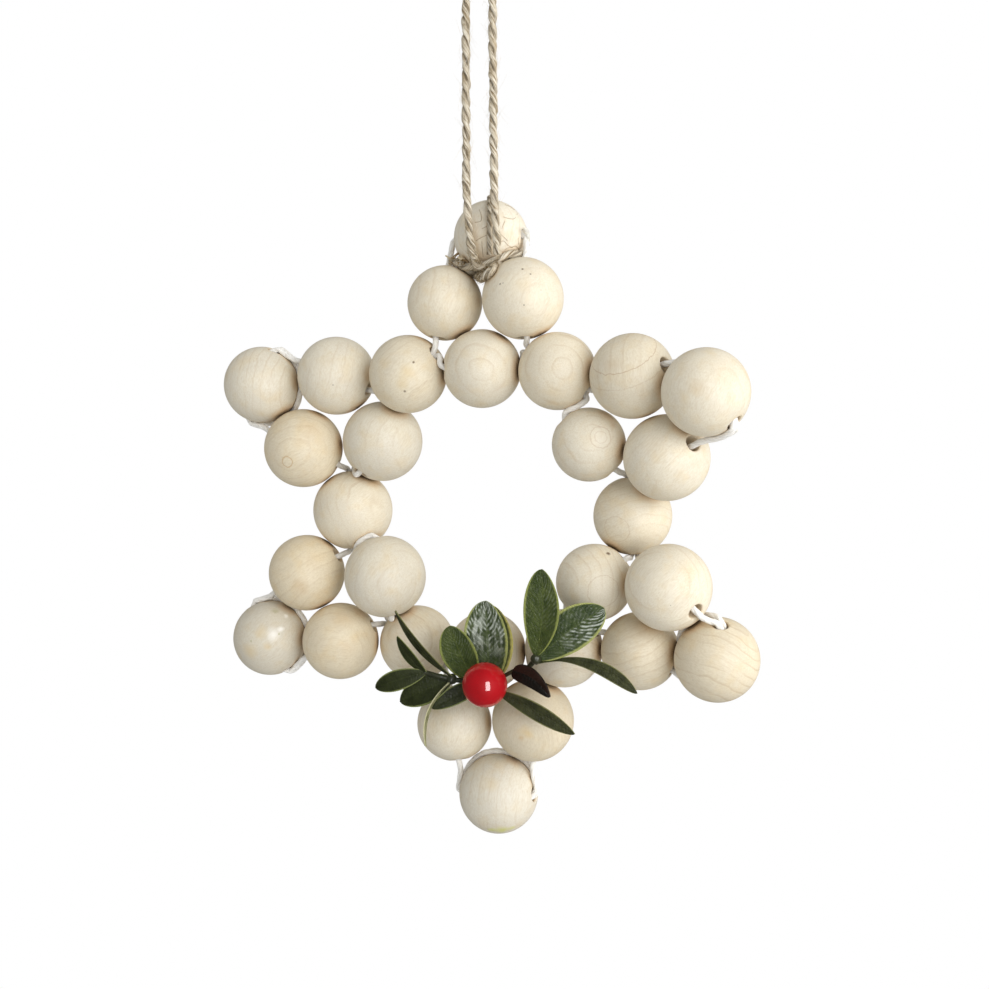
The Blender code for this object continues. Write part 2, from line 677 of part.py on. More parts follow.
def main():
    """Build the whole ornament."""
    for item in list(bpy.data.objects):
        bpy.data.objects.remove(item)
    star = bpy.data.collections.new("wooden_bead_star_ornament")
    tools = bpy.data.collections.new("shapes_joined_in")
    for collection in (star, tools):
        bpy.context.scene.collection.children.link(collection)

    wood = material("pale_wood", (0.72, 0.62, 0.46), 0.62)
    cotton = material("white_cotton", (0.86, 0.84, 0.78), 0.9)
    jute = material("jute_twine", (0.42, 0.33, 0.20), 0.92)
    leaf_green = material("leaf_green", (0.045, 0.085, 0.03), 0.35)
    leaf_maroon = material("leaf_maroon", (0.05, 0.012, 0.012), 0.35)
    berry_red = material("berry_red", (0.55, 0.01, 0.015), 0.15)

    beads = regular_star()
    settle(beads)
    ring, outline = star_rings()
    aim_bores(beads, ring, outline)
    for bead in beads.values():
        bead_object(bead, wood, star)

    tube("ring_string", closed_string(beads, ring, ring_lane), STRING, cotton, star, closed=True)
    tube("point_string", closed_string(beads, outline, outline_lane), STRING, cotton, star,
         closed=True)
    for point in POINTS:
        if point != HITCHED:
            tube(f"tie_{point}", tie_path(beads, point), STRING, cotton, star, closed=True)

    hitch, front, back = hitch_path(beads)
    tube("twine_hitch", hitch, TWINE, jute, star, closed=True, fineness=2)
    over = over_bead_route(beads["tip_top"], front, back)
    tube("twine_over_bead", over, PLY, jute, star)
    route = smooth_path(loop_route(beads["tip_top"], front), 2 * TWINE)
    tube("twine_loop", route, TWINE, jute, star, fineness=2)

    hollows = {
        "left": ("side_bottom", "shoulder_bottom_cw", "shoulder_bottom_ccw"),
        "right": ("corner_bottom_right", "side_bottom", "shoulder_bottom_ccw"),
    }
    middles = {side: sum(beads[name].centre for name in names) / 3
               for side, names in hollows.items()}
    spray("leaf_spray_left", middles["left"], LEFT_STEM, LEFT_HUBS, LEFT_LEAVES,
          leaf_green, star, tools)
    spray("leaf_spray_right", middles["right"], RIGHT_STEM, RIGHT_HUBS, RIGHT_LEAVES,
          leaf_green, star, tools)
    leaf_object("maroon_leaf", MAROON_LEAF, leaf_maroon, star)

    hub = laid_out(LEFT_STEM[LEFT_HUBS[0]])
    right, up = BERRY_OVER_HUB
    berry_middle = hub + np.array([right * SHARE, -(HUB + BERRY) / 2 - BERRY_ROOM, up * SHARE])
    ball("berry", berry_middle, BERRY, berry_red, star, segments=12, rings=8)


main()
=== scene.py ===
# %% [markdown]
# # A hanging star of wooden beads
#
# The ornament is a six-pointed star of thirty turned wooden beads on white cotton string. A sprig
# of moulded leaves with one red berry sits low on its front, and a loop of jute twine hangs it
# up.
#
# The solids come ready packed, each at its place in metres. They give every bead's middle, size and
# bore, so no bead is placed by eye. This first cell loads them and puts each one's place into its
# points.

# %% The imported solids
import math
from collections import namedtuple

import bpy
import numpy as np
from mathutils import Matrix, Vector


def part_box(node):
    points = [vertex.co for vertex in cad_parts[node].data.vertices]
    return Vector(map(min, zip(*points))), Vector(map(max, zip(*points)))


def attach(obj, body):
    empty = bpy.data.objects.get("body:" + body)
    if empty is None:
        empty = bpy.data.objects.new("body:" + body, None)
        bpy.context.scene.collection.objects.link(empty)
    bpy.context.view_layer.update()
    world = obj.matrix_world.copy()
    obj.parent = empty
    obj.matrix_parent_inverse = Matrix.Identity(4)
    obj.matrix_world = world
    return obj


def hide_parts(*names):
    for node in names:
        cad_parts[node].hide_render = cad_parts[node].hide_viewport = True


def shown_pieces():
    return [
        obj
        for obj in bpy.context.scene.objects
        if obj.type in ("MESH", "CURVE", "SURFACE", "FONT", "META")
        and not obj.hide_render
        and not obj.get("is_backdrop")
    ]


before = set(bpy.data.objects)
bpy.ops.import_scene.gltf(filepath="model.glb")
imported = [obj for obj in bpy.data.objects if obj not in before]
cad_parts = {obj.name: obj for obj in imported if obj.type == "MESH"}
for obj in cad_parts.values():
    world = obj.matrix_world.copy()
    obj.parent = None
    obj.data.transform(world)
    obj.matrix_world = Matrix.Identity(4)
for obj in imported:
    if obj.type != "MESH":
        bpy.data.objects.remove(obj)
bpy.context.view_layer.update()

MM = 0.001

# %% [markdown]
# ## The camera
#
# The photograph was taken from about 35 cm, a little from the right and a little from above. The
# angles, the distance and the focal length were found by matching all the beads' outlines. A
# constraint could aim the camera, but a matrix keeps exactly what was found. Cameras and lamps
# look along their own -Z, so the matrix has the directions right, up and back as its columns, and
# then the place.

# %% The camera
STAR_MIDDLE = np.array([1.0, 0.0, -146.0]) * MM
VIEW_TURN = 21.5
VIEW_RISE = 5
VIEW_FROM = 350 * MM
VIEW_ASIDE = 2.9 * MM
VIEW_OVER = 5.2 * MM
PHOTO_SIDE = 989
FOCAL_PIXELS = 1357
SENSOR_WIDTH = 36.0


def looking_from(turn, rise):
    """The directions right, up and back of what looks at the star.

    It stands at a turn to the right of the front and at a rise over the level, in degrees.
    """
    turn = math.radians(turn)
    rise = math.radians(rise)
    right = np.array([math.cos(turn), math.sin(turn), 0.0])
    back = np.array([math.sin(turn) * math.cos(rise), -math.cos(turn) * math.cos(rise),
                     math.sin(rise)])
    return right, np.cross(back, right), back


def standing_at(place, right, up, back):
    """The matrix of an object with these directions at this place."""
    return Matrix(np.column_stack([right, up, back, place]).tolist() + [[0, 0, 0, 1]])


view_right, view_up, view_back = looking_from(VIEW_TURN, VIEW_RISE)
view_place = (STAR_MIDDLE + view_back * VIEW_FROM + view_right * VIEW_ASIDE
              + view_up * VIEW_OVER)

camera = bpy.data.objects.new("photo_view", bpy.data.cameras.new("photo_view"))
camera.data.sensor_width = SENSOR_WIDTH
camera.data.lens = SENSOR_WIDTH * FOCAL_PIXELS / PHOTO_SIDE
camera.data.clip_start = 10 * MM
camera.matrix_world = standing_at(view_place, view_right, view_up, view_back)
bpy.context.scene.collection.objects.link(camera)
bpy.context.scene.camera = camera
print("lens:", round(camera.data.lens, 2), "mm")

# %% [markdown]
# ## The walls
#
# The photo is lit like a small product shot: soft light from the right, and pale walls that fill
# the shadows. The walls could be real planes, but a world of one colour does the same with less
# grain in the picture. A Light Path node tells who looks at it: the camera sees white, dull
# surfaces are lit by pale walls, and glossy ones mirror a dark room, which keeps reds and greens
# deep.

# %% The walls
WALLS = 0.66
WALLS_TINT = (0.98, 0.99, 1.0)
MIRRORED = 0.06

scene = bpy.context.scene
scene.view_settings.view_transform = "Standard"
world = bpy.data.worlds.new("pale_studio")
world.use_nodes = True
scene.world = world
studio = world.node_tree
studio.nodes.clear()
ray_kinds = studio.nodes.new("ShaderNodeLightPath")


def glow(strength, colour=(1, 1, 1)):
    """Light of one strength and colour from all round."""
    made = studio.nodes.new("ShaderNodeBackground")
    made.inputs["Color"].default_value = (*colour, 1)
    made.inputs["Strength"].default_value = strength
    return made.outputs[0]


def told_apart(ray, others, those):
    """One glow for the rays of a kind and another for the rest."""
    made = studio.nodes.new("ShaderNodeMixShader")
    studio.links.new(ray_kinds.outputs[ray], made.inputs["Fac"])
    studio.links.new(others, made.inputs[1])
    studio.links.new(those, made.inputs[2])
    return made.outputs[0]


walls = told_apart("Is Glossy Ray", glow(WALLS, WALLS_TINT), glow(MIRRORED))
surroundings = studio.nodes.new("ShaderNodeOutputWorld")
studio.links.new(told_apart("Is Camera Ray", walls, glow(1.0)), surroundings.inputs["Surface"])
print("walls:", WALLS, "mirrored:", MIRRORED)

# %% [markdown]
# ## The lamps
#
# Two broad lamps stand on the right, as a window would. They light the surfaces and aren't
# mirrored. The third one, the soft box, does the opposite: it mirrors in the berry as a white
# rectangle and lights no dull surface, so its brightness could be chosen by its glints alone. One
# lamp for both would give either weak glints or hard shadows.

# %% The lamps
Lamp = namedtuple("Lamp", "turn rise distance size power tint")
LAMPS = {
    "window_light": Lamp(52, 14, 1.0, (0.6, 0.8), 6.0, (1.0, 0.99, 0.99)),
    "side_light": Lamp(92, 6, 1.2, (0.9, 0.9), 7.0, (1.0, 0.99, 0.99)),
    "soft_box": Lamp(38, 3, 1.0, (0.38, 0.80), 14.0, (1.0, 1.0, 1.0)),
}
MIRRORED_LAMP = "soft_box"


def soft_light(name, lamp):
    """A rectangular area light that faces the star from the lamp's turn and rise in degrees."""
    right, up, back = looking_from(lamp.turn, lamp.rise)
    made = bpy.data.lights.new(name, "AREA")
    made.shape = "RECTANGLE"
    made.size, made.size_y = lamp.size
    made.energy = lamp.power
    made.color = lamp.tint
    hung = bpy.data.objects.new(name, made)
    hung.visible_camera = False
    hung.visible_glossy = name == MIRRORED_LAMP
    hung.visible_diffuse = name != MIRRORED_LAMP
    hung.matrix_world = standing_at(STAR_MIDDLE + back * lamp.distance, right, up, back)
    scene.collection.objects.link(hung)


for name, lamp in LAMPS.items():
    soft_light(name, lamp)
print("lights:", sorted(LAMPS))

# %% [markdown]
# ## The floor
#
# The ornament hangs, so the floor is a plain pale disc well below it, out of the picture. A plane
# would do as well. It belongs to the stage and not to the ornament, it sends a little light back
# up, and nothing glossy mirrors it.

# %% The floor
FLOOR_DROP = 1.5
FLOOR_RADIUS = 1.2
FLOOR_SIDES = 96
PAPER = (0.9, 0.9, 0.9, 1)

rim = np.linspace(0, 2 * math.pi, FLOOR_SIDES, endpoint=False)
disc = np.stack([np.cos(rim) * FLOOR_RADIUS, np.sin(rim) * FLOOR_RADIUS,
                 np.full(FLOOR_SIDES, -FLOOR_DROP)], axis=1)
floor_mesh = bpy.data.meshes.new("floor")
floor_mesh.from_pydata(disc.tolist(), [], [list(range(FLOOR_SIDES))])
floor = bpy.data.objects.new("floor", floor_mesh)
paper = bpy.data.materials.new("floor_paper")
paper.use_nodes = True
paper.node_tree.nodes["Principled BSDF"].inputs["Base Color"].default_value = PAPER
floor_mesh.materials.append(paper)
scene.collection.objects.link(floor)
floor.visible_glossy = False
floor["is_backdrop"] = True
print("floor at", -FLOOR_DROP)

# %% [markdown]
# ## What the solids say of the beads
#
# Places and sizes could be written down again here, but then a changed part would no longer fit
# its looks. So they are measured. Each bead's solid is a faceted ball with a bore. All its points
# lie at the bead's radius from its middle, so the mean of the distinct points is the middle and
# the farthest one gives the radius. The points spread most along the bore: that is the
# eigenvector with the largest eigenvalue of their covariance.

# %% What the solids say of the beads
Bead = namedtuple("Bead", "name centre radius bore")
NEARLY_UPRIGHT = 0.01


def unit(vectors):
    """The same directions at length one."""
    vectors = np.asarray(vectors, float)
    return vectors / np.linalg.norm(vectors, axis=-1, keepdims=True)


def read_bead(name):
    """A bead's middle, radius and bore direction, read from its solid's points.

    The bore points to the right, unless it is nearly upright.
    """
    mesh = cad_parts[name].data
    points = np.empty(len(mesh.vertices) * 3)
    mesh.vertices.foreach_get("co", points)
    points = np.unique(np.round(points.reshape(-1, 3), 7), axis=0)
    centre = points.mean(axis=0)
    spread = points - centre
    radius = np.linalg.norm(spread, axis=1).max()
    bore = np.linalg.eigh(spread.T @ spread)[1][:, -1]
    return Bead(name, centre, radius, bore * math.copysign(1.0, bore[0] + NEARLY_UPRIGHT))


beads = {name: read_bead(name) for name in sorted(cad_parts)
         if name.split("_")[0] in ("tip", "shoulder", "corner", "side")}
print("beads:", len(beads), "radii in mm:", sorted({round(b.radius / MM, 2)
                                                     for b in beads.values()}))

# %% [markdown]
# ## From the photo to a bead
#
# The solids keep a hair's breadth apart, but strung beads touch, so the beads made here are a
# little larger. Details that the photo shows on a bead are given by the photo's pixel. The ray
# from the camera through that pixel meets the bead, and the detail sits there, or the given room
# above it.

# %% From the photo to a bead
SNUG = 0.12 * MM


def seen_place(bead, x, y, room=0.0):
    """Where the ray through a pixel of the photo meets a bead that is grown by some room.

    The ray is camera + way t. It meets the ball where |camera + way t - middle| is the radius: a
    quadratic, of which the nearer answer is the visible one. A ray that passes by the ball gives
    the place where it comes nearest.
    """
    centre = PHOTO_SIDE / 2
    way = unit(view_right * (x - centre) - view_up * (y - centre) - view_back * FOCAL_PIXELS)
    to_bead = bead.centre - view_place
    along = to_bead @ way
    miss = to_bead @ to_bead - along ** 2
    reach = bead.radius + SNUG + room
    return view_place + way * (along - math.sqrt(max(reach ** 2 - miss, 0.0)))


print("a bead is", SNUG / MM, "mm larger than its solid all round")

# %% [markdown]
# ## Helpers for surfaces
#
# Blender's ready balls and curves don't fit a worn bead or a leaf, so every piece below is a grid
# of points worked out with numpy: rows along the piece, columns round or across it. One helper
# makes the quads between the grid's points, and one puts points, faces and any attributes into a
# mesh object at the origin.

# %% Helpers for surfaces
def grid_faces(rows, columns, rows_close=False, columns_close=False):
    """The quads between a grid's points. A direction that closes joins its last line to its first."""
    i = np.arange(rows if rows_close else rows - 1)[:, None]
    j = np.arange(columns if columns_close else columns - 1)[None, :]
    below = (i + 1) % rows
    beside = (j + 1) % columns
    corners = np.broadcast_arrays(i * columns + j, i * columns + beside,
                                  below * columns + beside, below * columns + j)
    return np.stack(corners, axis=-1).reshape(-1, 4)


def mesh_piece(name, points, faces, finish, slot, vectors=None):
    """A smooth-shaded mesh object from arrays, with its finish and vector attributes. The slot is not
    used.
    """
    mesh = bpy.data.meshes.new(name)
    mesh.from_pydata(np.asarray(points).reshape(-1, 3), [], faces)
    mesh.materials.append(finish)
    for label, values in (vectors or {}).items():
        layer = mesh.attributes.new(label, "FLOAT_VECTOR", "POINT")
        layer.data.foreach_set("vector", np.ascontiguousarray(values, np.float32).ravel())
    mesh.shade_smooth()
    piece = bpy.data.objects.new(name, mesh)
    scene.collection.objects.link(piece)
    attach(piece, "root")
    return piece


def tube_faces(tubes, stations, sides, closed=False):
    """The quads of several tubes, one after another, and a cap on each open end."""
    quads = grid_faces(stations, sides, rows_close=closed, columns_close=True)
    faces = [f for k in range(tubes) for f in (quads + k * stations * sides).tolist()]
    if closed:
        return faces
    ring = np.arange(sides)
    for start in range(0, tubes * stations * sides, stations * sides):
        faces.append((start + ring).tolist())
        faces.append((start + (stations - 1) * sides + ring[::-1]).tolist())
    return faces


def joined(parts):
    """One list of points and one of faces from several pairs of them."""
    starts = np.cumsum([0] + [len(points) for points, _ in parts])
    faces = [[corner + start for corner in face]
             for (_, own), start in zip(parts, starts.tolist()) for face in own]
    return np.vstack([points for points, _ in parts]), faces


print("a tube of 5 rings of 6 has", len(tube_faces(1, 5, 6)), "faces")

# %% [markdown]
# ## Helpers for finishes
#
# A finish is a node tree that ends in one Principled BSDF. Trees can be drawn in the editor, but
# a script can be read and repeated, and a few short helpers keep it readable. Colours are written
# as they look on a screen, from 0 to 255, and turned into the linear values that the renderer
# works with.

# %% Helpers for finishes
def screen(red, green, blue):
    """A linear colour from one as it looks on a screen, by the standard curve of screens."""
    value = np.array([red, green, blue]) / 255
    linear = np.where(value <= 0.04045, value / 12.92, ((value + 0.055) / 1.055) ** 2.4)
    return (*linear.tolist(), 1.0)


class Finish:
    """A material in the making: its node tree, with short ways to add and join nodes."""

    def __init__(self, name):
        self.material = bpy.data.materials.new(name)
        self.material.use_nodes = True
        self.tree = self.material.node_tree
        self.shader = self.tree.nodes["Principled BSDF"]

    def node(self, kind, inputs=None, **settings):
        """A new node. Each input is given as a value, or as the socket that feeds it."""
        made = self.tree.nodes.new("ShaderNode" + kind)
        for name, value in settings.items():
            setattr(made, name, value)
        for name, value in (inputs or {}).items():
            self.feed(made.inputs[name], value)
        return made

    def feed(self, socket, value):
        """Set a socket to a value, or join it to another socket."""
        if isinstance(value, bpy.types.NodeSocket):
            self.tree.links.new(value, socket)
        else:
            socket.default_value = value

    def maths(self, operation, *values):
        """One Math node's result."""
        return self.node("Math", dict(enumerate(values)), operation=operation).outputs[0]

    def blend(self, share, first, second, how="MIX"):
        """Two colours mixed by a share."""
        made = self.node("Mix", {0: share, 6: first, 7: second}, data_type="RGBA",
                         blend_type=how)
        return made.outputs[2]

    def ramp(self, value, *stops):
        """A value turned into a colour or a grey by stops, each a place and a colour."""
        made = self.node("ValToRGB", {"Fac": value})
        points = made.color_ramp.elements
        while len(points) < len(stops):
            points.new(0.5)
        for point, (place, colour) in zip(points, stops):
            point.position = place
            point.color = colour if len(colour) == 4 else (*colour, 1.0)
        return made.outputs["Color"]

    def fade(self, value, over, shares):
        """A share that goes from the first to the second while the value goes over a range."""
        return self.ramp(value, (over[0], grey(shares[0])), (over[1], grey(shares[1])))

    def noise(self, vector, scale, detail=2.0, roughness=0.5):
        """A noise's value from 0 to 1 at a scale per unit of the vector."""
        made = self.node("TexNoise", {"Vector": vector, "Scale": scale, "Detail": detail,
                                      "Roughness": roughness})
        return made.outputs["Fac"]

    def stretch(self, vector, scale, place=(0, 0, 0), turn=(0, 0, 0)):
        """A vector scaled, then turned, then moved by a Mapping node."""
        made = self.node("Mapping", {"Vector": vector, "Scale": scale, "Location": place,
                                     "Rotation": turn})
        return made.outputs[0]

    def relief(self, height, depth):
        """Bump from a height of 0 to 1 that stands for a depth in metres."""
        made = self.node("Bump", {"Height": height, "Distance": depth})
        self.feed(self.shader.inputs["Normal"], made.outputs[0])

    def settle(self, colour, roughness, **plain):
        """Give the shader its colour, its roughness and plain values by input name."""
        self.feed(self.shader.inputs["Base Color"], colour)
        self.feed(self.shader.inputs["Roughness"], roughness)
        for name, value in plain.items():
            self.shader.inputs[name.replace("_", " ")].default_value = value
        return self.material


def grey(value):
    """A grey for a ramp's stop."""
    return (value, value, value)


def toned(tones, shade):
    """The linear colours of some tones, all of them made darker by one shade."""
    return [screen(*(shade * np.array(tone))) for tone in tones]


print("white on screen is linear", screen(255, 255, 255))

# %% [markdown]
# ## Paths and what is carried along them
#
# String and twine follow paths. Blender's own curves could carry a section along them, but plies
# need the directions at each point, so both steps are worked out here. The points of a path are
# few, so a smooth curve is laid through them and read at an even spacing. To carry a round
# section along it, each point needs two directions square to the path. They are passed on from
# point to point with as little turning as possible, by reflecting them twice, and on a closed
# path the turn that is left over at the end is spread along it.

# %% Smooth paths
CURVE_STEPS = 16


def between(first, last, start, end, t):
    """On the straight run from first to last, which are reached when t is start and end."""
    return first * (end - t) / (end - start) + last * (t - start) / (end - start)


def smooth_path(points, spacing, closed=False):
    """Evenly spaced points on a smooth curve through the given ones.

    A centripetal Catmull-Rom curve: each stretch is blended from the two points beside it and the
    two beyond, with knots at the square root of the distances.
    """
    points = np.asarray(points, float)
    if closed:
        route = np.vstack([points[-1:], points, points[:2]])
    else:
        route = np.vstack([2 * points[0] - points[1], points, 2 * points[-1] - points[-2]])
    p0, p1, p2, p3 = (route[k:len(route) - 3 + k, None] for k in range(4))
    t0 = 0.0
    t1 = np.sqrt(np.linalg.norm(p1 - p0, axis=-1, keepdims=True))
    t2 = t1 + np.sqrt(np.linalg.norm(p2 - p1, axis=-1, keepdims=True))
    t3 = t2 + np.sqrt(np.linalg.norm(p3 - p2, axis=-1, keepdims=True))
    t = t1 + (t2 - t1) * np.linspace(0, 1, CURVE_STEPS, endpoint=False)[None, :, None]
    near = between(p0, p1, t0, t1, t)
    mid = between(p1, p2, t1, t2, t)
    late = between(p2, p3, t2, t3, t)
    curve = between(between(near, mid, t0, t2, t), between(mid, late, t1, t3, t), t1, t2, t)
    fine = np.vstack([curve.reshape(-1, 3), points[:1] if closed else points[-1:]])
    run = np.concatenate([[0], np.cumsum(np.linalg.norm(np.diff(fine, axis=0), axis=1))])
    marks = np.linspace(0, run[-1], max(3, round(run[-1] / spacing)) + 1)
    even = np.stack([np.interp(marks, run, fine[:, k]) for k in range(3)], axis=1)
    return even[:-1] if closed else even


print("steps between two given points:", CURVE_STEPS)

# %% [markdown]
# ## Directions along a path
#
# A section that is carried along must not twist by itself, or the plies would wind unevenly.
# Taking "up" as a fixed direction would flip where the path points up. So the first direction is
# free, and each next one is the last one, reflected twice: once in the plane between the two
# points, and once so that it is square to the path again.

# %% Directions along a path
FREE_WAY = (0.31, 0.9, 0.27)
NEXT_TO_NOTHING = 1e-12


def carried(path, closed=False):
    """Distance along a path and its length, and at each point the ways along, beside and over."""
    count = len(path)
    ahead = np.roll(path, -1, axis=0)
    behind = np.roll(path, 1, axis=0)
    if not closed:
        ahead[-1] = 2 * path[-1] - path[-2]
        behind[0] = 2 * path[0] - path[1]
    along = unit(ahead - behind)
    steps = np.linalg.norm(ahead - path, axis=1)
    run = np.concatenate([[0], np.cumsum(steps)])
    beside = [unit(np.cross(along[0], FREE_WAY))]
    for k in range(1, count + closed):
        here = k % count
        step = path[here] - path[k - 1]
        turned = beside[-1] - 2 * step * (step @ beside[-1]) / (step @ step)
        tangent = along[k - 1] - 2 * step * (step @ along[k - 1]) / (step @ step)
        tip = along[here] - tangent
        size = tip @ tip
        if size > NEXT_TO_NOTHING:
            turned = turned - 2 * tip * (tip @ turned) / size
        beside.append(turned)
    beside = np.array(beside)
    over = np.cross(along, beside[:count])
    if closed:
        left_over = math.atan2(beside[-1] @ over[0], beside[-1] @ beside[0])
        angle = (-left_over * run[:count] / run[-1])[:, None]
        beside = beside[:count] * np.cos(angle) + over * np.sin(angle)
        over = np.cross(along, beside)
    return run[:count], run[-1], along, beside[:count], over


print("the directions beside and over are ready")

# %% [markdown]
# ## Plied cords
#
# Twine and string are made of plies that are twisted round each other. A single tube with a
# painted pattern would look flat against the light, so each ply is its own tube: its middle winds
# round the path as a helix. Spinners call the length of one turn the lay, and a negative lay
# winds the other way. Plies press each other flat, so a yarn also says how large a ply is
# outwards and round the cord, against the cord's own radius.

# %% Plied cords
Yarn = namedtuple("Yarn", "diameter plies lay press sides")
SLUB_WAVES = (0.43, 0.9, 2.1)
PLIES_APART = 7


def plied_cord(path, yarn, slub, seed, closed=False):
    """Points, faces and straightened-out places of a cord of plies.

    A ply's middle is path + offset (cos a beside + sin a over), and a grows by a full turn in
    each lay. Its section is an ellipse of cos b outwards and sin b round the cord. The slub makes
    it thicker and thinner along its length by the mean of three sines, whose lengths are given in
    lays. The straightened place of a point is its distance along the cord and its place in the
    section, so that a pattern follows the fibres. Each ply's is some lays on, for its own pattern.
    """
    draw = np.random.default_rng(seed)
    run, length, _, beside, over = carried(path, closed)
    turns = length / yarn.lay
    turns = round(turns) if closed else turns
    ply = np.arange(yarn.plies)[:, None]
    angle = 2 * math.pi * (turns * run[None] / length + ply / yarn.plies)
    tilt = draw.uniform(0, 2 * math.pi, (len(SLUB_WAVES), yarn.plies, 1))
    waves = sum(np.sin(2 * math.pi * round(length / (yarn.lay * w)) * run[None] / length + t)
                for w, t in zip(SLUB_WAVES, tilt)) / len(SLUB_WAVES)
    outwards, round_cord = yarn.press
    ply_radius = yarn.diameter / 2 * round_cord * (1 + slub * waves)
    offset = yarn.diameter / 2 * (1 - outwards)
    wind = (beside[None] * np.cos(angle)[..., None] + over[None] * np.sin(angle)[..., None])
    beside_wind = (over[None] * np.cos(angle)[..., None] - beside[None] * np.sin(angle)[..., None])
    middle = path[None] + wind * offset
    round_it = np.linspace(0, 2 * math.pi, yarn.sides, endpoint=False)
    section = (wind[:, :, None] * np.cos(round_it)[:, None] * outwards / round_cord
               + beside_wind[:, :, None] * np.sin(round_it)[:, None])
    points = middle[:, :, None] + section * ply_radius[..., None, None]
    straight = np.stack(np.broadcast_arrays(
        run[None, :, None] + ply[..., None] * PLIES_APART * yarn.lay,
        ply_radius[..., None] * np.cos(round_it),
        ply_radius[..., None] * np.sin(round_it)), axis=-1)
    faces = tube_faces(yarn.plies, len(path), yarn.sides, closed)
    return points.reshape(-1, 3), faces, straight.reshape(-1, 3)


def cord_piece(name, path, yarn, finish, slot, slub, seed, closed=False):
    """A plied cord's mesh object, which carries its straightened places for the finish."""
    points, faces, straight = plied_cord(path, yarn, slub, seed, closed)
    return mesh_piece(name, points, faces, finish, slot, {"straight": straight})


print("sines in a slub:", len(SLUB_WAVES))

# %% [markdown]
# ## Stray fibres
#
# Jute is hairy, and cotton has a short fuzz. Blender's hair system would draw them, but it is no
# mesh that can be handed on, so a hair is a thin three-sided tube that leaves the cord, bends
# away and curls. All hairs of a cord are made at once, as one array of hairs by stations by
# corners.

# %% Stray fibres
HAIR_STATIONS = 7
HAIR_LEAN = (0.15, 0.8)
HAIR_DROOP = (-0.2, 0.75)
HAIR_SWIRL = (1.5, 7.0)
HAIR_THINS = 0.7
HAIR_SHORTEST = 0.25
MOSTLY_SHORT = 1.6
ROOT_OUT = 0.42
ANY_ANGLE = (0, 6.3)


def hairs(roots, along, outward, lengths, thickness, curl, draw):
    """Points and faces of fine hairs.

    A hair's middle is root + along L t + outward L (lean t - droop t^2) + a small circle of the
    curl's size that turns once or twice on the way. It thins from root to tip.
    """
    count = len(roots)
    t = np.linspace(0, 1, HAIR_STATIONS)[None, :, None]
    lean = draw.uniform(*HAIR_LEAN, (count, 1, 1))
    droop = draw.uniform(*HAIR_DROOP, (count, 1, 1))
    side = unit(np.cross(along, outward))
    swirl = draw.uniform(*HAIR_SWIRL, (count, 1, 1)) * t + draw.uniform(*ANY_ANGLE, (count, 1, 1))
    size = lengths[:, None, None]
    middle = (roots[:, None] + along[:, None] * size * t
              + outward[:, None] * size * (lean * t - droop * t ** 2)
              + side[:, None] * size * curl * t * np.sin(swirl)
              + outward[:, None] * size * curl * t * (np.cos(swirl) - 1) * 0.5)
    corner = np.linspace(0, 2 * math.pi, 3, endpoint=False)
    thin = (thickness * (1 - HAIR_THINS * t))[..., None]
    ring = (side[:, None, None] * np.cos(corner)[:, None]
            + outward[:, None, None] * np.sin(corner)[:, None])
    points = middle[:, :, None] + ring * thin / 2
    return points.reshape(-1, 3), tube_faces(count, HAIR_STATIONS, 3)


def cord_hairs(path, diameter, count, longest, thickness, seed, closed=False, curl=0.12):
    """Hairs that leave a cord at random places, either way along it, and are mostly short."""
    draw = np.random.default_rng(seed)
    _, _, along, beside, over = carried(path, closed)
    at = draw.integers(0, len(path), count)
    angle = draw.uniform(0, 2 * math.pi, (count, 1))
    outward = beside[at] * np.cos(angle) + over[at] * np.sin(angle)
    way = draw.choice([-1.0, 1.0], (count, 1))
    lengths = longest * draw.uniform(HAIR_SHORTEST, 1.0, count) ** MOSTLY_SHORT
    roots = path[at] + outward * diameter * ROOT_OUT
    return hairs(roots, along[at] * way, outward, lengths, thickness, curl, draw)


print("stations of a hair:", HAIR_STATIONS)

# %% [markdown]
# ## Plain tubes and loose bundles
#
# Stems, frayed ends and lying fibres are plain round tubes. Their ends are rounded by letting the
# radius follow a circle there, which saves a cap of its own. A bundle of such tubes that waver
# side by side makes loose cotton.

# %% Plain tubes and loose bundles
BLUNT_END = 0.05
FIBRE_STEP = 0.3 * MM
FIBRE_ASIDE = 0.6
FIBRE_WAVER = 0.4
FIBRE_WAVES = (2, 9)


def plain_tube(path, thickness, sides=14):
    """Points and faces of a round tube along an open path, with round ends.

    The radius is r sqrt(1 - e^2), where e falls from 1 at an end to 0 at r from it.
    """
    run, length, _, beside, over = carried(path)
    radius = thickness / 2
    from_end = np.minimum(run, length - run)
    r = radius * np.sqrt(1 - (1 - (from_end / radius).clip(0, 1)) ** 2).clip(BLUNT_END)
    a = np.linspace(0, 2 * math.pi, sides, endpoint=False)
    circle = beside[:, None] * np.cos(a)[:, None] + over[:, None] * np.sin(a)[:, None]
    points = path[:, None] + circle * r[:, None, None]
    return points.reshape(-1, 3), tube_faces(1, len(path), sides)


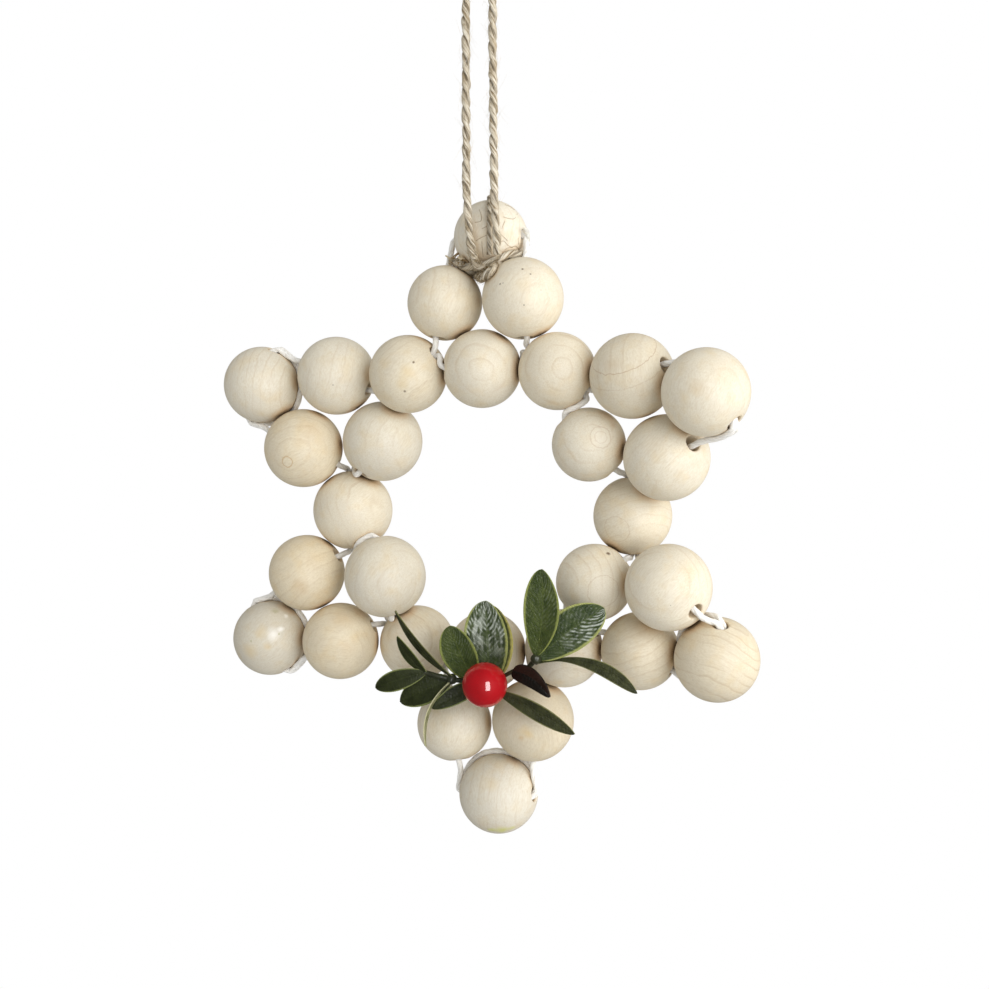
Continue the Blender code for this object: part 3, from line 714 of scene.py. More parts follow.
def fibre_bundle(route, count, spread, thickness, seed):
    """Points and faces of fine fibres that run along a route together, loosely.

    A fibre's middle is path + spread (beside s1 + over s2), where s1 and s2 are a random constant
    plus a slow sine of the distance.
    """
    draw = np.random.default_rng(seed)
    path = smooth_path(route, FIBRE_STEP)
    run, length, _, beside, over = carried(path)
    strands = []
    for _ in range(count):
        constant = draw.uniform(-FIBRE_ASIDE, FIBRE_ASIDE, 2)
        phase = draw.uniform(*ANY_ANGLE, 2)
        rate = draw.uniform(*FIBRE_WAVES, 2)
        s1, s2 = (constant + FIBRE_WAVER * np.sin(rate * run[:, None] / length + phase)).T
        middle = path + spread * (beside * s1[:, None] + over * s2[:, None])
        strands.append(plain_tube(middle, thickness, sides=5))
    return joined(strands)


print("a plain tube of 9 rings has", len(tube_faces(1, 9, 14)), "faces")

# %% [markdown]
# ## Rules for the routes
#
# The strings could follow points picked by hand, but there would be hundreds. Their routes follow
# the same rules as the solids' instead: a string runs through the bores, lies on the bead that it
# hugs, and goes round the notch between two beads. The rules are worked out from the beads, so
# they need no list of points.

# %% Rules for the routes
STRING = 1.2 * MM
BORE_ROOM = 0.5 * MM
STRING_ROOM = 0.4 * MM
TWINE = 2.2 * MM
TWINE_ROOM = 0.3 * MM
BORE = 2 * STRING + 3 * BORE_ROOM
LANE = (BORE - STRING) / 2 - STRING_ROOM
STRING_LOOKS = 1.6 * MM
STRING_GIVES = 0.1 * MM
STRING_REACH = SNUG + STRING_LOOKS / 2 - STRING_GIVES
TWINE_REACH = TWINE / 2 + TWINE_ROOM
OVER_TWINE = TWINE_REACH + STRING / 2 + STRING_ROOM
HUG_STEP = math.radians(24)
NOTCH_STEP = math.radians(60)
TIE_LEAN = math.radians(62)
FRONT = np.array([0.0, -1.0, 0.0])


def across(vector, axis):
    """The part of a vector square to an axis, at length one."""
    return unit(vector - axis * np.dot(vector, axis))


def mouth(bead, towards):
    """Where a bead's bore opens, on the side that faces a point."""
    way = math.copysign(1.0, np.dot(bead.bore, towards - bead.centre))
    return bead.centre + bead.bore * way * bead.radius


def notch(a, b, room):
    """The circle of points that lie the given room off both of two beads.

    It is given by its middle, axis and radius, which is never under two strings.
    """
    reach_a = a.radius + room
    reach_b = b.radius + room
    apart = b.centre - a.centre
    far = np.linalg.norm(apart)
    along = (far ** 2 + reach_a ** 2 - reach_b ** 2) / (2 * far)
    radius = math.sqrt(max(reach_a ** 2 - along ** 2, (2 * STRING) ** 2))
    return a.centre + apart / far * along, apart / far, radius


def string_notch(a, b):
    """The ring that a string keeps to in a notch: over the hitch, where one lies in it."""
    if "tip_top" in (a.name, b.name):
        middle, axis, radius = notch(a, b, TWINE_REACH)
        return middle, axis, radius + OVER_TWINE
    return notch(a, b, STRING_REACH)


def round_notch(a, b, start, end, via=None):
    """Points round a notch from one direction to another, the short way or past a third."""
    middle, axis, radius = string_notch(a, b)
    first = across(start, axis)
    second = np.cross(axis, first)
    turn = math.atan2(np.dot(end, second), np.dot(end, first))
    if via is not None and math.copysign(1, np.dot(via, second)) != math.copysign(1, turn):
        turn -= math.copysign(2 * math.pi, turn)
    runs = max(1, math.ceil(abs(turn) / NOTCH_STEP))
    let_out = radius / math.cos(turn / runs / 2)
    return [middle + (first * math.cos(t) + second * math.sin(t)) * let_out
            for t in np.linspace(0, turn, runs + 1)]


def hug(bead, start, end):
    """Points over a bead between two places, as far out as the middle of a string on it."""
    first = unit(start - bead.centre)
    last = unit(end - bead.centre)
    turn = math.acos(max(-1.0, min(1.0, float(np.dot(first, last)))))
    runs = math.ceil(turn / HUG_STEP)
    reach = (bead.radius + STRING_REACH) / math.cos(turn / max(runs, 1) / 2)
    return [bead.centre + reach * unit(first * math.sin((1 - k / runs) * turn)
                                       + last * math.sin(k / runs * turn))
            for k in range(1, runs)]


def through(bead, before, lane):
    """Where a string enters and leaves a bead, at its own lane in the bore."""
    way = bead.bore * math.copysign(1.0, np.dot(bead.bore, bead.centre - before))
    reach = way * (bead.radius + STRING_REACH) / math.cos(HUG_STEP / 2)
    return bead.centre - reach + lane, bead.centre + reach + lane


def joint(a, b, leave, enter):
    """Points from the bore mouth of one bead to that of the next."""
    middle, axis, _ = string_notch(a, b)
    ring = round_notch(a, b, leave - middle, across(enter - middle, axis))
    return hug(a, leave, ring[0]) + ring + hug(b, ring[-1], enter)


print("bore:", round(BORE / MM, 2), "mm")

# %% [markdown]
# ## The strings' routes
#
# Two long strings hold the star: one runs through the twelve inner beads, the other in and out
# along the star's outline. Each point but the top one has a short tie besides, through its tip
# and back between tip and shoulders. The twine holds the top point. The real knots don't show, so
# each string simply closes on itself.

# %% The strings' routes
POINTS = ("top", "upper_left", "lower_left", "bottom", "lower_right", "upper_right")
CORNERS = ("top_left", "left", "bottom_left", "bottom_right", "right", "top_right")


def closed_string(order, lane_of):
    """The route of a string that runs through a ring of beads and closes on itself."""
    chain = [beads[name] for name in order]
    ends = [through(bead, chain[k - 1].centre, lane_of(bead)) for k, bead in enumerate(chain)]
    points = []
    for k, bead in enumerate(chain):
        following = (k + 1) % len(chain)
        enter, leave = ends[k]
        points += [enter, bead.centre + lane_of(bead), leave]
        points += joint(bead, chain[following], leave, ends[following][0])
    return points


def ring_lane(bead):
    """The inner ring's string keeps to the inner side of a corner bead's bore."""
    return unit(STAR_MIDDLE - bead.centre) * LANE * bead.name.startswith("corner")


def outline_lane(bead):
    """The outer string keeps to the front of a tip's bore and the outer side of a corner's.

    It keeps to the outer side of the top point's shoulders too, so that it clears the hitch.
    """
    if bead.name.startswith(("corner", "shoulder_top")):
        return across(bead.centre - STAR_MIDDLE, bead.bore) * LANE
    if bead.name.startswith("tip"):
        return across(FRONT, bead.bore) * LANE
    return np.zeros(3)


def tie_route(point):
    """A loop through a tip's bore, down both its sides and back between tip and shoulders."""
    tip = beads[f"tip_{point}"]
    shoulders = [beads[f"shoulder_{point}_{turn}"] for turn in ("ccw", "cw")]
    lane = across(-FRONT, tip.bore) * LANE
    mouths = through(tip, mouth(tip, shoulders[1].centre), lane)[::-1]
    sides = []
    for shoulder, end in zip(shoulders, mouths):
        axis = unit(shoulder.centre - tip.centre)
        outer = across(end - tip.centre, axis)
        start = outer * math.cos(TIE_LEAN) - FRONT * math.sin(TIE_LEAN)
        ring = round_notch(tip, shoulder, start, -outer, via=-FRONT)
        sides.append([end] + hug(tip, end, ring[0]) + ring)
    left, right = sides
    arch = (left[-1] + right[-1]) / 2
    arch = tip.centre + unit(arch - tip.centre) * (tip.radius + 2 * STRING_REACH)
    return left + [arch] + right[::-1]


ring_order = [name for pair in zip((f"side_{p}" for p in POINTS), (f"corner_{c}" for c in CORNERS))
              for name in pair]
outline_order = [name for p, c in zip(POINTS, CORNERS)
                 for name in (f"shoulder_{p}_cw", f"tip_{p}", f"shoulder_{p}_ccw", f"corner_{c}")]
string_routes = {"ring_string": closed_string(ring_order, ring_lane),
                 "point_string": closed_string(outline_order, outline_lane)}
string_routes.update({f"tie_{p}": tie_route(p) for p in POINTS if p != "top"})
print("strings:", {name: len(route) for name, route in string_routes.items()})

# %% [markdown]
# ## Pulling the strings tight
#
# The routes by rule stand a little off everything. The real strings are tight, so they sink into
# the hollows between the beads. A rope simulation would do that, but it is slow and hard to
# repeat. The same happens here in many small rounds: each point moves to the middle between its
# neighbours, and is then pushed out of any bead that it has entered, and off the hitch.

# %% Pulling the strings tight
TIGHT_ROUNDS = 150
IN_BORE = 1.5 * MM
bead_middles = np.array([bead.centre for bead in beads.values()])
bead_bores = np.array([bead.bore for bead in beads.values()])
bead_reaches = np.array([bead.radius for bead in beads.values()]) + STRING_REACH
bore_reach = BORE / 2 - STRING_LOOKS / 2


def against_beads(path):
    """How deep each point is in each ball and outside each bore, with the ways out of both."""
    from_middle = path[:, None] - bead_middles
    far = np.linalg.norm(from_middle, axis=2)
    along = np.einsum("pbk,bk->pb", from_middle, bead_bores)
    from_axis = from_middle - along[..., None] * bead_bores
    off_axis = np.linalg.norm(from_axis, axis=2)
    in_ball = bead_reaches - far
    out_of_ball = from_middle / far[..., None]
    to_axis = -from_axis / np.maximum(off_axis, 1e-9)[..., None]
    return in_ball, off_axis - bore_reach, out_of_ball, to_axis


def pushed_out(path):
    """Each point moved out of the ball or into the bore, whichever is nearer, for each bead."""
    in_ball, off_bore, out_of_ball, to_axis = against_beads(path)
    depth = np.minimum(in_ball, off_bore).clip(0)
    way = np.where((in_ball < off_bore)[..., None], out_of_ball, to_axis)
    return path + (way * depth[..., None]).sum(axis=1)


def pulled_tight(path, hitch_path):
    """A closed path drawn in as if it were pulled tight, held where it runs deep in a bore."""
    in_ball, off_bore, _, _ = against_beads(path)
    held = ((in_ball > IN_BORE) & (off_bore < STRING_ROOM)).any(axis=1)[:, None]
    keep_off = (TWINE + STRING_LOOKS) / 2
    for _ in range(TIGHT_ROUNDS):
        middle = (np.roll(path, 1, axis=0) + np.roll(path, -1, axis=0)) / 2
        moved = pushed_out(middle)
        from_hitch = moved[:, None] - hitch_path
        far = np.linalg.norm(from_hitch, axis=2)
        nearest = far.argmin(axis=1)
        rows = np.arange(len(path))
        short = (keep_off - far[rows, nearest]).clip(0)
        moved = moved + (from_hitch[rows, nearest] * (short / far[rows, nearest])[:, None])
        path = np.where(held, path, moved)
    return path


print("points are held", round(IN_BORE / MM, 1), "mm deep in a bore")

# %% [markdown]
# ## The twine's routes
#
# The twine is hitched round the neck of the top bead. One strand goes over the bead, and the long loop
# stands on the hitch and rises to the hook. Rules give the first two. The loop is the one free cord of
# the ornament, and no rule says how it leans, so its points were chosen from the photo, in twentieths
# of a bead: low ones from the top bead's middle, high ones from the hook, which is the origin.

# %% The twine's routes
BEAD = 20.0 * MM
SHARE = BEAD / 20
LOOP_WIDTH = 8.6 * MM
FOOT_OVER_HITCH = (1.6 * MM, 2.4 * MM)
HITCH_RUNS = 6
PLY = 1.3 * MM
OVER_ASIDE = -0.3 * MM
OVER_TURN = math.radians(21.5)
OVER_STOP = 1.3
OVER_ROOM = 0.05 * MM
OVER_POINTS = 10
ROUND_TOP = (0, 30, 60)
UP = np.array([0.0, 0.0, 1.0])
LEFT_LOW = ((-0.6, -10.0, 0.0), (-1.2, -11.0, -1.0), (-1.9, -11.2, 7.7))
LEFT_HIGH = ((-1.6, -4.8, -43.8), (-2.7, -2.1, -21.9), (-3.6, -0.4, -10.0))
RIGHT_LOW = ((6.2, -11.0, 0.0), (6.2, -11.8, -1.0), (5.8, -12.0, 7.7))
RIGHT_HIGH = ((5.9, -5.4, -43.8), (4.5, -2.4, -21.9), (3.8, -0.4, -10.0))


def hitch_route(tip):
    """The twine round the neck of the top bead, and the middles of its front and its back."""
    halves = []
    for turn in ("ccw", "cw"):
        shoulder = beads[f"shoulder_top_{turn}"]
        axis = unit(shoulder.centre - tip.centre)
        outer = across(mouth(tip, shoulder.centre) - tip.centre, axis)
        middle, _, reach = notch(tip, shoulder, TWINE_REACH)
        reach /= math.cos(math.pi / HITCH_RUNS / 2)
        halves.append([middle + (across(FRONT, axis) * math.cos(angle)
                                 + outer * math.sin(angle)) * reach
                       for angle in np.linspace(0, math.pi, HITCH_RUNS + 1)])
    left, right = halves
    ends = [tip.centre + unit((a + b) / 2 - tip.centre) * (tip.radius + TWINE_REACH)
            for a, b in ((left[0], right[0]), (left[-1], right[-1]))]
    return left + [ends[1]] + right[::-1] + [ends[0]], *ends


def over_bead_route(tip, front, back):
    """A single ply from the hitch's front, slantwise over the top bead and down to its back."""
    before = np.array([math.sin(OVER_TURN), -math.cos(OVER_TURN), 0.0])
    aside = np.array([math.cos(OVER_TURN), math.sin(OVER_TURN), 0.0]) * OVER_ASIDE
    reach = math.sqrt((tip.radius + OVER_ROOM + PLY / 2) ** 2 - OVER_ASIDE ** 2)
    short = OVER_STOP * TWINE / reach
    angles = np.linspace(short - math.acos(unit(front - tip.centre)[2]),
                         math.acos(unit(back - tip.centre)[2]) - short, OVER_POINTS)[:, None]
    return tip.centre + aside + (UP * np.cos(angles) - before * np.sin(angles)) * reach


def loop_route(tip, front):
    """The hanging loop's own points: up one strand, round the hook and down the other."""
    half = LOOP_WIDTH / 2
    strands = []
    for side, low, high, foot in ((-1, LEFT_LOW, LEFT_HIGH, FOOT_OVER_HITCH[0]),
                                  (1, RIGHT_LOW, RIGHT_HIGH, FOOT_OVER_HITCH[1])):
        strand = [tip.centre + np.array(place) * SHARE for place in low]
        strand[0][2] = front[2] + foot
        strand += [np.array(place) * SHARE for place in high]
        strand += [np.array([side * half * math.cos(a), 0.0,
                             TWINE / 2 - half * (1 - math.sin(a))])
                   for a in np.radians(ROUND_TOP)]
        strands.append(strand)
    left, right = strands
    return left + [np.array([0.0, 0.0, TWINE / 2])] + right[::-1]


top_bead = beads["tip_top"]
hitch, hitch_front, hitch_back = hitch_route(top_bead)
over_bead = over_bead_route(top_bead, hitch_front, hitch_back)
loop = loop_route(top_bead, hitch_front)
print("loop's own points:", len(loop))

# %% [markdown]
# ## Jute
#
# Jute twine is two loosely spun plies of stiff, shiny fibres, cream to brown. A picture of twine
# would repeat itself, so the finish is noise. It reads the straightened places, so its long
# streaks run along the ply and tilt with it, and a finer copy of the streaks is the relief.

# %% The jute finish
JUTE_TONES = ((108, 86, 54), (202, 190, 166), (238, 232, 216), (164, 144, 110), (108, 90, 62))
JUTE_STREAKS = (170, 3000, 3000)
JUTE_FIBRES = (500, 9000, 9000)
JUTE_PATCHES = (190, 130, 130)
JUTE_RELIEF = 0.14 * MM
JUTE_PRESS = (0.53, 0.80)


def jute_finish(name, yarn_diameter, shade):
    """Cream and brown streaks along the fibres, with painted shade where two plies meet.

    The tones are dark, middle, pale, tan and the painted shade in the grooves. The scales are
    per metre, along the ply and across it.
    """
    finish = Finish(name)
    dark, middle, pale, tan, groove = toned(JUTE_TONES, shade)
    place = finish.node("Attribute", attribute_name="straight").outputs["Vector"]
    streaks = finish.noise(finish.stretch(place, JUTE_STREAKS), 1.0, detail=3.0, roughness=0.6)
    fine = finish.noise(finish.stretch(place, JUTE_FIBRES), 1.0)
    patches = finish.noise(finish.stretch(place, JUTE_PATCHES), 1.0)
    colour = finish.ramp(streaks, (0.38, dark), (0.46, middle), (0.60, pale))
    colour = finish.blend(finish.fade(patches, (0.50, 0.75), (0.0, 0.75)), colour, tan)
    colour = finish.blend(finish.maths("MULTIPLY", fine, 0.35), colour, tan)
    ply_radius = yarn_diameter / 2 * JUTE_PRESS[1]
    outwards = finish.maths("DIVIDE", finish.node("SeparateXYZ", {0: place}).outputs["Y"], ply_radius)
    uneven = finish.maths("ADD", outwards, finish.maths("MULTIPLY", fine, 0.7))
    # Painted shade in the grooves where two plies meet.
    colour = finish.blend(finish.fade(uneven, (0.22, 0.60), (0.42, 0.0)), colour, groove)
    finish.relief(finish.maths("ADD", streaks, finish.maths("MULTIPLY", fine, 0.6)), JUTE_RELIEF)
    return finish.settle(colour, 0.62, Specular_IOR_Level=0.3)


jute = jute_finish("jute_twine", TWINE, 1.0)
jute_ply = jute_finish("jute_ply", PLY, 0.94)
print("finishes:", jute.name, jute_ply.name)

# %% [markdown]
# ## Hairs of jute and cotton
#
# A hair is too thin for streaks, so its finish is one colour that noise makes lighter here and
# there. Frayed jute has brown hairs and pale ones, and cotton fuzz is nearly white.

# %% Hairs of jute and cotton
HAIR_PATCHES = 900.0
HAIR_LIGHTER = 1.5


def hair_finish(name, colour):
    """Thin fibres of one colour, a little uneven from place to place."""
    finish = Finish(name)
    uneven = finish.noise(finish.node("TexCoord").outputs["Object"], HAIR_PATCHES)
    lighter = tuple(min(1.0, c * HAIR_LIGHTER) for c in colour[:3]) + (1.0,)
    return finish.settle(finish.blend(uneven, colour, lighter), 0.55, Specular_IOR_Level=0.3)


jute_hair = hair_finish("jute_hair", screen(196, 182, 154))
brown_hair = hair_finish("brown_hair", screen(132, 110, 76))
cotton_fuzz = hair_finish("cotton_fuzz", screen(216, 213, 206))
print("finishes:", jute_hair.name, brown_hair.name, cotton_fuzz.name)

# %% [markdown]
# ## The hanging loop
#
# The loop is the only cord that hangs free. It is taut under the star's weight, so it needs no
# simulation: a smooth path through the route's points is its shape.

# %% The hanging loop
TWINE_LAY = 9.2 * MM
TWINE_LOOKS = 0.93 * TWINE
TWINE_YARN = Yarn(TWINE_LOOKS, 2, -TWINE_LAY, JUTE_PRESS, 12)
TWINE_STEP = 0.35 * MM

loop_path = smooth_path(loop, TWINE_STEP)
twine_loop = cord_piece("hanging_loop", loop_path, TWINE_YARN, jute, "jute_twine", 0.34, 3)
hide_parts("twine_loop")

points, faces = cord_hairs(loop_path, TWINE, 900, 4.5 * MM, 0.06 * MM, seed=5)
loop_hairs = mesh_piece("hanging_loop_hairs", points, faces, jute_hair, "jute_twine")

# %% [markdown]
# ## The hitch and the strand over the bead
#
# The hitch goes round the neck of the top bead, and a single thin ply goes over the bead from the
# hitch's front to its back. A real hitch crosses under itself, but that place is hidden by the
# knot's fuzz, so a closed ring serves.

# %% The hitch and the strand over the bead
PLY_YARN = Yarn(PLY, 2, -0.6 * TWINE_LAY, JUTE_PRESS, 12)
FINE_STEP = 0.3 * MM

hitch_path = smooth_path(hitch, TWINE_STEP, closed=True)
piece = cord_piece("hitch_round_neck", hitch_path, TWINE_YARN, jute, "jute_twine", 0.22, 11,
                   closed=True)
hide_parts("twine_hitch")
over_path = smooth_path(over_bead, FINE_STEP)
piece = cord_piece("strand_over_bead", over_path, PLY_YARN, jute_ply, "jute_twine", 0.12, 12)
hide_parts("twine_over_bead")
print("hitch:", len(hitch_path), "stations")

# %% [markdown]
# ## The knot
#
# The hitch is pulled tight in front: a lower turn of the twine dips between the top bead and its
# two neighbours, with frayed ends on the left and fuzz all over. Tying it in a simulation would
# give some knot, but not this one, so its places come from the photo, and each lies on the bead
# that carries it. A route is a list of the photo's pixels, x to the right and y down.

# %% The knot
LOWER_TURN = (("shoulder_top_ccw", 453, 261), ("tip_top", 466, 267), ("shoulder_top_ccw", 475, 274),
              ("shoulder_top_cw", 484, 277), ("shoulder_top_cw", 491, 271), ("tip_top", 499, 262),
              ("tip_top", 505, 257))
FOOT_TURN = ((473, 254), (475, 261), (479, 267), (487, 268), (495, 264))
KNOT_FUZZ = 480
FUZZ_LONGEST = 1.9 * MM
FUZZ_THICK = 0.12 * MM
NEXT_SEED = 5


def on_beads(route, room):
    """Places on beads, each given by a bead's name and a pixel of the photo."""
    return np.array([seen_place(beads[name], x, y, room) for name, x, y in route])


def on_top_bead(route, room):
    """Places on the top bead, each given by a pixel of the photo."""
    return np.array([seen_place(top_bead, x, y, room) for x, y in route])


for name, route, seed in (("knot_lower_turn", on_beads(LOWER_TURN, TWINE / 2), 21),
                          ("knot_foot_turn", on_top_bead(FOOT_TURN, TWINE), 22)):
    path = smooth_path(route, FINE_STEP)
    cord_piece(name, path, TWINE_YARN, jute, "jute_twine", 0.25, seed)
    for tone, hair in (("brown", brown_hair), ("pale", jute_hair)):
        points, faces = cord_hairs(path, TWINE, KNOT_FUZZ, FUZZ_LONGEST, FUZZ_THICK, seed=seed,
                                   curl=0.7)
        mesh_piece(f"{name}_{tone}_fuzz", points, faces, hair, "jute_twine")
        seed += NEXT_SEED
print("hairs on the knot:", 4 * KNOT_FUZZ)

# %% [markdown]
# ## Frayed ends and lying fibres
#
# The twine's cut ends are frayed to a tuft of small loops. Each loop is most of an oval through
# its place, in a plane of its own that is drawn at random. Single fibres have come off and lie on
# the top bead, where the photo shows them, and a wisp of cotton stands beside the knot.

# %% Frayed ends and lying fibres
FRAYED_END = ((449, 258), (455, 256), (461, 258), (456, 263), (451, 264), (463, 263))
FRAYED_SWEEP = 5.2
FRAYED_SIZES = (0.6, 1.5)
FRAYED_THICK = (0.28, 0.5)
FRAYED_OVAL = 0.6
LYING_FIBRES = (
    ((474.5, 222.6), (480.9, 220.9), (481.4, 216.2), (479.2, 209.3)),
    ((481.4, 229.0), (484.8, 227.3), (488.2, 225.6)),
    ((475.8, 241.0), (480.5, 238.0), (488.7, 234.2)),
    ((481.8, 241.0), (482.2, 247.9), (483.1, 257.0)),
    ((502.8, 216.6), (507.9, 218.3), (513.9, 218.8), (517.4, 213.6)),
    ((501.9, 229.0), (503.2, 224.8), (504.9, 221.3)),
    ((499.4, 232.5), (501.5, 235.0), (506.2, 239.3), (507.5, 241.0)),
    ((500.2, 241.9), (503.7, 241.0), (507.9, 245.3), (511.4, 247.0), (515.6, 246.2), (519.1, 249.6)),
    ((505.4, 249.6), (507.9, 247.9), (513.1, 247.5)),
    ((518.2, 237.6), (518.6, 244.5)),
    ((504.5, 204.5), (509.6, 206.2), (514.6, 209.8)),
)
COTTON_WISP = ((523, 228), (527, 233), (528, 240), (526, 248), (520, 255))
WISP_ROOM = 1.4 * MM

draw = np.random.default_rng(31)
tufts = {"pale": [], "brown": []}
for number, place in enumerate(on_top_bead(FRAYED_END * 2, TWINE / 2)):
    beside, over = unit(draw.normal(size=(2, 3)))
    t = np.linspace(0, FRAYED_SWEEP, 7)[:, None]
    size = draw.uniform(*FRAYED_SIZES) * MM
    route = place + size * (beside * np.cos(t) + over * np.sin(t) * FRAYED_OVAL)
    strand = plain_tube(smooth_path(route, 0.25 * MM), draw.uniform(*FRAYED_THICK) * MM, sides=8)
    tufts["brown" if number % 2 else "pale"].append(strand)
mesh_piece("frayed_loops_pale", *joined(tufts["pale"]), jute_hair, "jute_twine")
mesh_piece("frayed_loops_brown", *joined(tufts["brown"]), brown_hair, "jute_twine")

fibres = [plain_tube(smooth_path(on_top_bead(route, 0.05 * MM), 0.2 * MM), 0.09 * MM, sides=5)
          for route in LYING_FIBRES]
mesh_piece("lying_fibres", *joined(fibres), brown_hair, "jute_twine")
wisp = fibre_bundle(on_top_bead(COTTON_WISP, WISP_ROOM), 16, 0.8 * MM, 0.10 * MM, 41)
mesh_piece("loose_cotton_by_knot", *wisp, cotton_fuzz, "white_cotton")
print("lying fibres:", len(fibres))

# %% [markdown]
# ## Cotton string
#
# The string is soft white cotton of three plies, twisted so loosely that it looks like smooth
# floss. One smooth tube would do from afar, but the photo shows the plies. It is a little fatter
# than its solid, because loose cotton fluffs out, and a short white fuzz stands round it.

# %% Cotton string
STRING_YARN = Yarn(STRING_LOOKS, 3, 9.0 * MM, (0.68, 0.74), 10)
COTTON_STREAKS = (700, 6500, 6500)
COTTON_RELIEF = 0.05 * MM
NEAREST_POINTS = 0.25 * MM
PULLING_STEP = 0.5 * MM
STRING_STEP = 0.4 * MM


def cotton_finish():
    """Off-white with fine fibres along the ply and soft shadow between them."""
    finish = Finish("white_cotton")
    place = finish.node("Attribute", attribute_name="straight").outputs["Vector"]
    streaks = finish.noise(finish.stretch(place, COTTON_STREAKS), 1.0, detail=3.0)
    colour = finish.ramp(streaks, (0.28, screen(222, 217, 207)), (0.55, screen(245, 243, 237)))
    finish.relief(streaks, COTTON_RELIEF)
    return finish.settle(colour, 0.85, Specular_IOR_Level=0.2, Sheen_Weight=0.3)


cotton = cotton_finish()
for name, route in string_routes.items():
    route = np.array(route)
    far = np.linalg.norm(np.roll(route, -1, axis=0) - route, axis=1)
    path = smooth_path(route[far > NEAREST_POINTS], PULLING_STEP, closed=True)
    path = smooth_path(pulled_tight(path, hitch_path), STRING_STEP, closed=True)
    piece = cord_piece(f"cotton_{name}", path, STRING_YARN, cotton, "white_cotton", 0.05,
                       len(name), closed=True)
    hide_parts(name)
    points, faces = cord_hairs(path, STRING_LOOKS, len(path) // 2, 1.6 * MM, 0.04 * MM,
                               seed=len(name), closed=True, curl=0.4)
    mesh_piece(f"fuzz_{name}", points, faces, cotton_fuzz, "white_cotton")
    print(piece.name, len(path), "stations")

# %% [markdown]
# ## Turned beads
#
# A bead is turned on a lathe, so it is a profile spun round its bore. A ball with a hole cut by a
# Boolean would have a sharp mouth and uneven faces round it. The profile runs down the bore's
# wall, round the softened edge of the mouth and over the ball. Spinning is one formula: point =
# centre + bore h + r (cos a beside + sin a over) for every height and radius (h, r) of the
# profile and every angle a.

# %% Turned beads
MOUTH_ROUND = 0.45 * MM
BEAD_TURNS = 72
LIP_STEPS = 7
BALL_STEPS = 46
WALL_STEPS = 9
OFF_ANY_BORE = np.array([0.21, 0.83, 0.52])


def bead_profile(radius):
    """Radius and height of a bead's profile: the bore's wall, a rounded mouth, then the ball."""
    wall = BORE / 2
    lip = MOUTH_ROUND
    centre_out = wall + lip
    centre_up = math.sqrt((radius - lip) ** 2 - centre_out ** 2)
    meets = math.atan2(centre_out, centre_up)
    curl = np.linspace(-math.pi / 2, meets, LIP_STEPS)
    lip_r = centre_out + lip * np.sin(curl)
    lip_h = centre_up + lip * np.cos(curl)
    ball = np.linspace(meets, math.pi - meets, BALL_STEPS)[1:-1]
    inside = np.linspace(-centre_up, centre_up, WALL_STEPS)[1:-1]
    r = np.concatenate([lip_r, radius * np.sin(ball), lip_r[::-1], np.full(len(inside), wall)])
    h = np.concatenate([lip_h, radius * np.cos(ball), -lip_h[::-1], inside])
    return r, h


def turned_bead(bead):
    """Points and faces of a bead spun round its bore."""
    r, h = bead_profile(bead.radius + SNUG)
    beside = across(OFF_ANY_BORE, bead.bore)
    over = np.cross(bead.bore, beside)
    angle = np.linspace(0, 2 * math.pi, BEAD_TURNS, endpoint=False)
    circle = beside * np.cos(angle)[:, None] + over * np.sin(angle)[:, None]
    points = bead.centre + bead.bore * h[:, None, None] + circle[None] * r[:, None, None]
    return points, grid_faces(len(r), BEAD_TURNS, rows_close=True, columns_close=True)


print("profile points:", len(bead_profile(top_bead.radius)[0]))

# %% [markdown]
# ## Where a bead lay in the tree
#
# The wood is a pale, even-grained one. In a real tree the growth rings are tubes round the pith,
# and a bead is a small ball cut somewhere among them: cut near the pith it shows ovals, cut far
# from it nearly straight lines. A picture wrapped round the ball couldn't show that, so the
# pattern is a solid one. Each bead's Mapping node says how its piece of wood lay in the tree: the
# third direction runs with the grain, and the pith is where the other two are nought. Noise bends
# the places a little, so that no ring is a perfect one.

# %% Where a bead lay in the tree
Grain = namedtuple("Grain", "way pith ring_width rings warmth shade")
PLANKS_APART = 3.7
BEND_SCALE = 0.10
BEND = 3.5


def plank_turn(grain):
    """The rotation that brings a grain direction upright, as rows and as an Euler angle."""
    grain = unit(grain)
    beside = across(np.array([0.37, 0.61, 0.7]), grain)
    rows = np.array([beside, np.cross(grain, beside), grain])
    return rows, Matrix(rows.tolist()).to_euler("XYZ")


def plank_places(finish, bead, grain, number):
    """Places in a bead's piece of wood in millimetres, as they were cut and bent by noise.

    As it was cut: turn (place - middle) + pith. Bent: that + bend (noise's colour - 0.5).
    """
    rows, turn = plank_turn(grain.way)
    per_mm = 1 / MM
    moved = -(rows @ bead.centre) * per_mm + np.array([*grain.pith, number * PLANKS_APART])
    cut = finish.stretch(finish.node("TexCoord").outputs["Object"], (per_mm, per_mm, per_mm),
                         moved, turn)
    bend = finish.node("TexNoise", {"Vector": cut, "Scale": BEND_SCALE, "Detail": 2.0})
    bend = finish.node("VectorMath", {0: bend.outputs["Color"], 1: (-0.5, -0.5, -0.5)},
                       operation="ADD").outputs[0]
    bend = finish.node("VectorMath", {0: bend, "Scale": BEND}, operation="SCALE").outputs[0]
    return cut, finish.node("VectorMath", {0: cut, 1: bend}, operation="ADD").outputs[0]


print("one bead's wood is", PLANKS_APART, "mm on from the last one's")

# %% [markdown]
# ## Growth rings
#
# A ring is pale early wood that ends in a thin darker line of late wood. A Wave texture in rings
# with a saw profile rises slowly and drops at once, just so. Only the line shows, and it comes
# and goes, because the wood of the photo is a calm one.

# %% Growth rings
WAVE_PERIOD = 0.314
RINGS_ALONG_GRAIN = (1, 1, 0.04)


